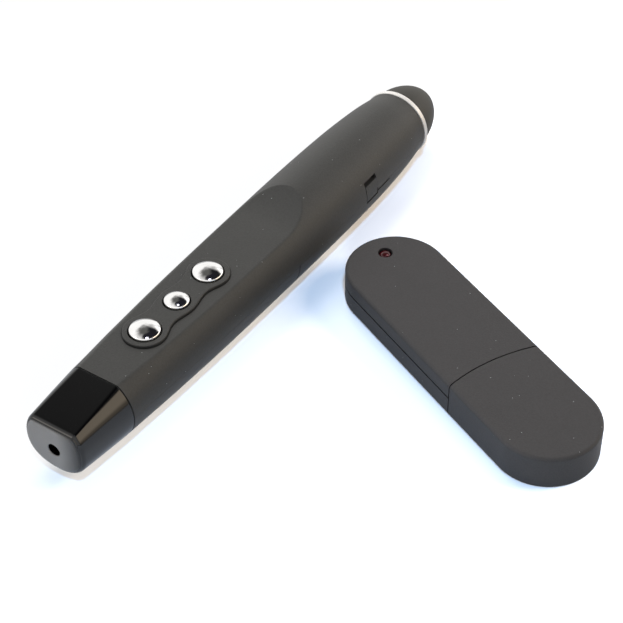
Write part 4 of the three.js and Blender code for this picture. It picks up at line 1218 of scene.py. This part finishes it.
class PRESENTER_OT_battery(bpy.types.Operator):
    """Make the cell, its spring and the screws, and dress the contact plates"""

    bl_idname = "presenter.battery"
    bl_label = "Battery, spring and screws"

    def execute(self, context):
        colours = context.scene.presenter_finishes
        # Steel, nickel plated: half bright, with fine marks from stamping and drawing
        nickel = metal("stamped_nickel_steel", colours.nickel, 0.28, 0.4, 0.003)
        dress(nickel, "contact_plate_front", "contact_plate_rear")
        self.cell(colours, nickel)
        low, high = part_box("contact_spring")
        axis = middle("battery_cell")
        wire = mm(0.35)
        spring = grown("cone_spring", spring_tree(), {
            "Start": Vector((low.x + wire, axis.y, axis.z)),
            "Length": high.x - low.x - 2 * wire,
            "Large Radius": mm(3),
            "Small Radius": mm(2),
            "Wire Radius": wire,
            "Turns": 4.0,
            "Finish": nickel,
        })
        finished(smooth(spring, 60), "pen", "steel", [nickel], "contact_spring")
        names = ["board_screw_1", "board_screw_2", "housing_screw"]
        feet = [Vector((*middle(name).xy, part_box(name)[0].z)) for name in names]
        low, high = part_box("housing_screw")
        screws = grown("cross_screws", screw_tree(), {
            "First": feet[0],
            "Second": feet[1],
            "Third": feet[2],
            "Head Radius": (high.x - low.x) / 2,
            "Head Height": mm(1.2),
            "Shank Radius": mm(1),
            "Length": high.z - low.z,
            "Finish": nickel,
        })
        finished(smooth(screws, 35), "pen", "steel", [nickel], *names)
        return {"FINISHED"}

    def cell(self, colours, nickel):
        """A round cell: jacket with rolled ends, a pip in front and a plate behind"""
        low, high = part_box("battery_cell")
        axis = middle("battery_cell")
        radius = (high.y - low.y) / 2
        roll, dip = mm(0.5), mm(0.25)
        pip_radius, pip_height, pip_edge = mm(1.9), mm(0.9), mm(0.2)
        inner = radius - 2 * roll
        shoulder = high.x - pip_height
        profile = [(low.x + dip, POLE), (low.x + dip, inner), (low.x, inner)]
        profile += [(low.x + roll * back, radius - roll * aside) for back, aside in quarter(6)]
        profile += [(shoulder - roll * back, radius - roll * aside) for back, aside in reversed(quarter(6))]
        profile += [(shoulder, inner), (shoulder - dip, inner), (shoulder - dip, pip_radius)]
        profile += [
            (high.x - pip_edge * back, pip_radius - pip_edge * aside)
            for back, aside in reversed(quarter(4))
        ]
        profile.append((high.x, POLE))
        made = turned("round_cell", profile, 96, (0, axis.y, axis.z), (1, 0, 0))
        # Printed film, shrunk over steel: half gloss, dark with one copper-coloured end
        jacket, tree, where = new_material("shrunk_film_jacket")
        copper_from = mix(low.x, high.x, 0.76)
        banded = maths(tree, "GREATER_THAN", split(tree, where)["X"], copper_from)
        dark = toned(tree, where, colours.jacket, 0.06, 8)
        end_material(tree, blended(tree, banded, dark, linear("9a6238")), 0.3)
        finished(smooth(made, 35), "pen", "cell_jacket", [jacket, nickel], "battery_cell")
        for polygon in made.data.polygons:
            out = math.hypot(polygon.center.y - axis.y, polygon.center.z - axis.z)
            polygon.material_index = 1 if out < inner else 0


def spring_tree():
    """One wire on a helix that narrows towards the cell"""
    floats = ["Length", "Large Radius", "Small Radius", "Wire Radius", "Turns"]
    tree, given = geometry_tree("cone_spring", ["Start"], floats)
    path = add(tree, "GeometryNodeCurveSpiral", {
        "Resolution": 40, "Rotations": given["Turns"], "Start Radius": given["Large Radius"],
        "End Radius": given["Small Radius"], "Height": given["Length"],
    })
    wire = add(tree, "GeometryNodeCurvePrimitiveCircle", {"Resolution": 14, "Radius": given["Wire Radius"]})
    swept = add(tree, "GeometryNodeCurveToMesh", {
        "Curve": path.outputs[0], "Profile Curve": wire.outputs[0], "Fill Caps": True,
    })
    return end_tree(tree, moved(tree, swept.outputs[0], given["Start"], LENGTHWISE), given["Finish"])


def screw_tree():
    """Three pan-head screws with a cross recess in the head, which points down"""
    places = ["First", "Second", "Third"]
    floats = ["Head Radius", "Head Height", "Shank Radius", "Length"]
    tree, given = geometry_tree("cross_screw", places, floats)
    overlap = mm(0.4)
    cross_long, cross_wide, cross_deep = mm(2.2), mm(0.55), mm(1.4)
    head = cylinder(tree, 48, given["Head Radius"], given["Head Height"])
    shank = cylinder(tree, 32, given["Shank Radius"], maths(tree, "SUBTRACT", given["Length"], overlap))
    upper = maths(tree, "MULTIPLY", maths(tree, "ADD", given["Length"], overlap), 0.5)
    whole = combined(tree, "UNION", [
        raised(tree, head["Mesh"], maths(tree, "MULTIPLY", given["Head Height"], 0.5)),
        raised(tree, shank["Mesh"], upper),
    ])
    bars = [
        add(tree, "GeometryNodeMeshCube", {"Size": extent}).outputs["Mesh"]
        for extent in ((cross_long, cross_wide, cross_deep), (cross_wide, cross_long, cross_deep))
    ]
    screw = combined(tree, "DIFFERENCE", bars, whole)
    points = add(tree, "GeometryNodeJoinGeometry")
    for name in places:
        single = add(tree, "GeometryNodeMeshLine", {"Count": 1, "Start Location": given[name]})
        tree.links.new(single.outputs[0], points.inputs[0])
    placed = add(tree, "GeometryNodeInstanceOnPoints", {"Points": points.outputs[0], "Instance": screw})
    return end_tree(tree, placed.outputs[0], given["Finish"])


# Lamps: name, direction, distance, width, power, colour and the collection that it lights alone.
# The low one keeps the receiver's near side from sinking into its own shade
LAMPS = [
    ("ceiling_softbox", (0.35, 0.62, 1.1), 0.9, 0.55, 7.6, (1.0, 0.985, 0.96), None),
    ("warm_wall", (0.9, -0.42, 0.34), 0.36, 0.22, 0.33, (1.0, 0.84, 0.66), None),
    ("cool_floor_fill", (-0.42, -0.33, 0.93), 0.9, 0.07, 10.5, (0.34, 0.6, 1.0), "lit_floor"),
    ("right_floor_softbox", (0.55, -0.75, 0.6), 0.9, 0.45, 16, (1.0, 0.86, 0.7), "lit_floor"),
    ("high_floor_softbox", (0.3, 0.3, 1.1), 0.9, 0.8, 3, (1.0, 0.94, 0.84), "lit_floor"),
    ("nose_floor_fill", (-0.75, -0.4, 0.3), 0.28, 0.06, 1.2, (0.8, 0.9, 1.0), "lit_floor"),
    ("receiver_side_fill", (-0.1, -0.03, 0.025), 0.107, 0.03, 0.026, (0.8, 0.88, 1.0), "lit_receiver"),
]
# What mirrors see in the room: direction, outer and inner edge in degrees, colour. First the pale wall
# beside the window, then the dark ceiling's parts, then two small lamps
ROOM = [
    ((0.85, -0.3, 0.43), 24, 16, (2.2, 2.15, 2.1, 1)),
    ((0.419, 0.415, 0.804), 16, 5, (0.3, 0.3, 0.29, 1)),
    ((0.3, 0.0, 0.95), 50, 24, (0.35, 0.345, 0.34, 1)),
    ((0.38, -0.154, 0.913), 34, 20, (0.015, 0.015, 0.018, 1)),
    ((0.06, -0.22, 0.97), 27, 17, (0.015, 0.015, 0.02, 1)),
    ((0.215, 0.307, 0.927), 22, 6, (0.11, 0.11, 0.105, 1)),
    ((-0.125, -0.216, 0.968), 6, 4, (3.2, 3.2, 3.8, 1)),
    ((-0.66, 0.415, 0.6), 16, 8, (3.2, 3.0, 2.8, 1)),
]
WHITE = (1.0, 1.0, 1.0, 1.0)


class PRESENTER_OT_stage(bpy.types.Operator):
    """Make the floor, the lamps, the world and the camera"""

    bl_idname = "presenter.stage"
    bl_label = "Stage"

    def execute(self, context):
        scene = context.scene
        scene.view_settings.view_transform = "Standard"
        for name in ("lit_floor", "lit_receiver"):
            bpy.data.collections.new(name)
        self.floor()
        self.world(scene)
        self.lamps()
        self.camera(scene)
        return {"FINISHED"}

    def floor(self):
        """White paper: its shade keeps the shadows, and mirrors see it as the camera does"""
        reach = 2.0
        level = -mm(0.05)
        mirrored_share = 0.39
        mesh = bpy.data.meshes.new("floor")
        corners = [(-reach, -reach), (reach, -reach), (reach, reach), (-reach, reach)]
        mesh.from_pydata([(x, y, level) for x, y in corners], [], [(0, 1, 2, 3)])
        paper = bpy.data.materials.new("white_paper")
        tree = cleared(paper)
        rays = add(tree, "ShaderNodeLightPath").outputs
        seen = maths(tree, "MULTIPLY", rays["Is Glossy Ray"], mirrored_share)
        for ray in ("Is Camera Ray", "Is Transmission Ray"):
            seen = maths(tree, "MAXIMUM", seen, rays[ray])
        # What lights the pieces from below is darker than the paper that the camera sees
        plain = add(tree, "ShaderNodeBsdfDiffuse", {"Color": (0.12, 0.12, 0.12, 1)})
        shade = add(tree, "ShaderNodeBsdfDiffuse", {"Color": (0.46, 0.46, 0.46, 1)})
        glow = add(tree, "ShaderNodeEmission", {"Color": (0.045, 0.035, 0.032, 1), "Strength": 1.0})
        shown = add(tree, "ShaderNodeAddShader", {0: shade.outputs[0], 1: glow.outputs[0]})
        # Far from the pieces the paper fades to plain white, and beyond the pen's axis it is painted nearly
        # plain white: painted light over the shade that the lamps cast there
        where = add(tree, "ShaderNodeTexCoord").outputs["Object"]
        distances, painted_white_past_axis = (mm(130), mm(240)), (mm(36), mm(54))
        far = ranged(tree, vectors(tree, "LENGTH", where), *distances)
        # Painted light: past the pen's axis the paper is whitened, whatever the lamps do there
        beyond = ranged(tree, split(tree, where)["Y"], *painted_white_past_axis, high=0.95, soft=True)
        white = add(tree, "ShaderNodeEmission", {"Color": WHITE, "Strength": 1.0})
        shown = either(tree, maths(tree, "MAXIMUM", far, beyond), shown, white)
        both = either(tree, seen, plain, shown)
        # From below, the floor isn't there
        behind = add(tree, "ShaderNodeNewGeometry").outputs["Backfacing"]
        whole = either(tree, behind, both, add(tree, "ShaderNodeBsdfTransparent"))
        add(tree, "ShaderNodeOutputMaterial", {"Surface": whole.outputs[0]})
        mesh.materials.append(paper)
        made = linked("floor", mesh)
        bpy.data.collections["lit_floor"].objects.link(made)

    def world(self, scene):
        """White walls round a dark ceiling for mirrors, an even pale light for the rest"""
        scene.world = bpy.data.worlds.new("studio")
        tree = cleared(scene.world)
        view = add(tree, "ShaderNodeTexCoord").outputs["Generated"]
        rays = add(tree, "ShaderNodeLightPath").outputs
        # A little unevenness, as the room's edges aren't round
        wander = 0.3
        uneven = add(tree, "ShaderNodeTexNoise", {"Vector": view, "Scale": 5.0, "Detail": 2.0})
        uneven = vectors(tree, "MULTIPLY", uneven.outputs["Color"], (wander,) * 3)
        view = vectors(tree, "SUBTRACT", vectors(tree, "ADD", uneven, view), (wander / 2,) * 3)
        view = vectors(tree, "NORMALIZE", view)

        def towards(direction, outer, inner):
            """0 outside a cone round a direction, 1 inside it, with a soft edge"""
            dot = vectors(tree, "DOT_PRODUCT", view, Vector(direction).normalized())
            outer, inner = (math.cos(math.radians(angle)) for angle in (outer, inner))
            return ranged(tree, dot, outer, inner, soft=True)

        patches = add(tree, "ShaderNodeTexNoise", {"Vector": view, "Scale": 2.2, "Detail": 2.0})
        room = blended(tree, patches.outputs["Fac"], (0.98, 0.965, 0.94, 1), (1.22, 1.22, 1.22, 1))
        room = blended(tree, towards((0.62, -0.68, 0.1), 60, 35), room, linear("2c2926"))
        # A tall warm window in the dark wall
        height = split(tree, view)["Z"]
        sill, head = (-0.05, 0.28), (0.65, 0.6)
        window = maths(tree, "MULTIPLY", ranged(tree, height, *sill), ranged(tree, height, *head))
        window = maths(tree, "MULTIPLY", window, towards((0.62, -0.74, 0.25), 42, 34))
        room = blended(tree, window, room, (2.7, 2.27, 1.75, 1))
        for direction, outer, inner, colour in ROOM:
            room = blended(tree, towards(direction, outer, inner), room, colour)
        ambient = add(tree, "ShaderNodeBackground", {"Color": (0.95, 0.97, 1.0, 1), "Strength": 0.25})
        glossy = add(tree, "ShaderNodeBackground", {"Color": room, "Strength": 1.0})
        white = add(tree, "ShaderNodeBackground", {"Color": WHITE, "Strength": 1.0})
        plain = maths(tree, "MAXIMUM", rays["Is Camera Ray"], rays["Is Transmission Ray"])
        whole = either(tree, plain, either(tree, rays["Is Glossy Ray"], ambient, glossy), white)
        add(tree, "ShaderNodeOutputWorld", {"Surface": whole.outputs[0]})

    def lamps(self):
        for name, direction, distance, width, power, colour, lit in LAMPS:
            data = bpy.data.lights.new(name, "AREA")
            data.shape = "DISK"
            data.size, data.energy, data.color = width, power, colour
            made = linked(name, data)
            away = Vector(direction).normalized()
            made.location = away * distance
            made.rotation_euler = away.to_track_quat("Z", "Y").to_euler()
            # Mirrors see the world's room, not the lamps
            made.visible_glossy = made.visible_camera = False
            if lit:
                made.light_linking.receiver_collection = bpy.data.collections[lit]

    def camera(self, scene):
        """The photograph's viewpoint: a long lens from over the nose"""
        data = bpy.data.cameras.new("camera")
        data.lens = 98.01
        data.sensor_width = 36
        data.clip_start = 0.01
        right = Vector((0.555965, -0.831177, -0.006943))
        up = Vector((0.563147, 0.370512, 0.738638))
        look = Vector((0.611366, 0.414567, -0.674066))
        place = Matrix((right, up, -look)).transposed().to_4x4()
        place.translation = Vector((-0.237797, -0.135484, 0.261501))
        scene.camera = linked("camera", data)
        scene.camera.matrix_world = place


class PRESENTER_PT_panel(bpy.types.Panel):
    """Lists the presenter's pieces"""

    bl_idname = "PRESENTER_PT_panel"
    bl_label = "Wireless presenter"
    bl_space_type = "VIEW_3D"
    bl_region_type = "UI"
    bl_category = "Presenter"

    def draw(self, context):
        for operator in PIECES:
            self.layout.operator(operator.bl_idname)
        for name in GROUPS:
            group = getattr(context.scene, name)
            box = self.layout.box()
            box.label(text=group.bl_rna.description)
            for prop in group.bl_rna.properties:
                if prop.identifier not in {"rna_type", "name"}:
                    box.prop(group, prop.identifier)


PIECES = [
    PRESENTER_OT_stage,
    PRESENTER_OT_nose,
    PRESENTER_OT_housings,
    PRESENTER_OT_keys,
    PRESENTER_OT_tail,
    PRESENTER_OT_receiver,
    PRESENTER_OT_plug,
    PRESENTER_OT_electronics,
    PRESENTER_OT_battery,
]
GROUPS = {
    "presenter_pen": PresenterPen,
    "presenter_keys": PresenterKeys,
    "presenter_receiver": PresenterReceiver,
    "presenter_finishes": PresenterFinishes,
}


def register():
    for kind in [*GROUPS.values(), *PIECES, PRESENTER_PT_panel]:
        bpy.utils.register_class(kind)
    for name, group in GROUPS.items():
        setattr(bpy.types.Scene, name, bpy.props.PointerProperty(type=group))


def unregister():
    for name in GROUPS:
        delattr(bpy.types.Scene, name)
    for kind in reversed([*GROUPS.values(), *PIECES, PRESENTER_PT_panel]):
        bpy.utils.unregister_class(kind)


def main():
    register()
    for operator in PIECES:
        group, name = operator.bl_idname.split(".")
        getattr(getattr(bpy.ops, group), name)()


if __name__ == "__main__":
    main()
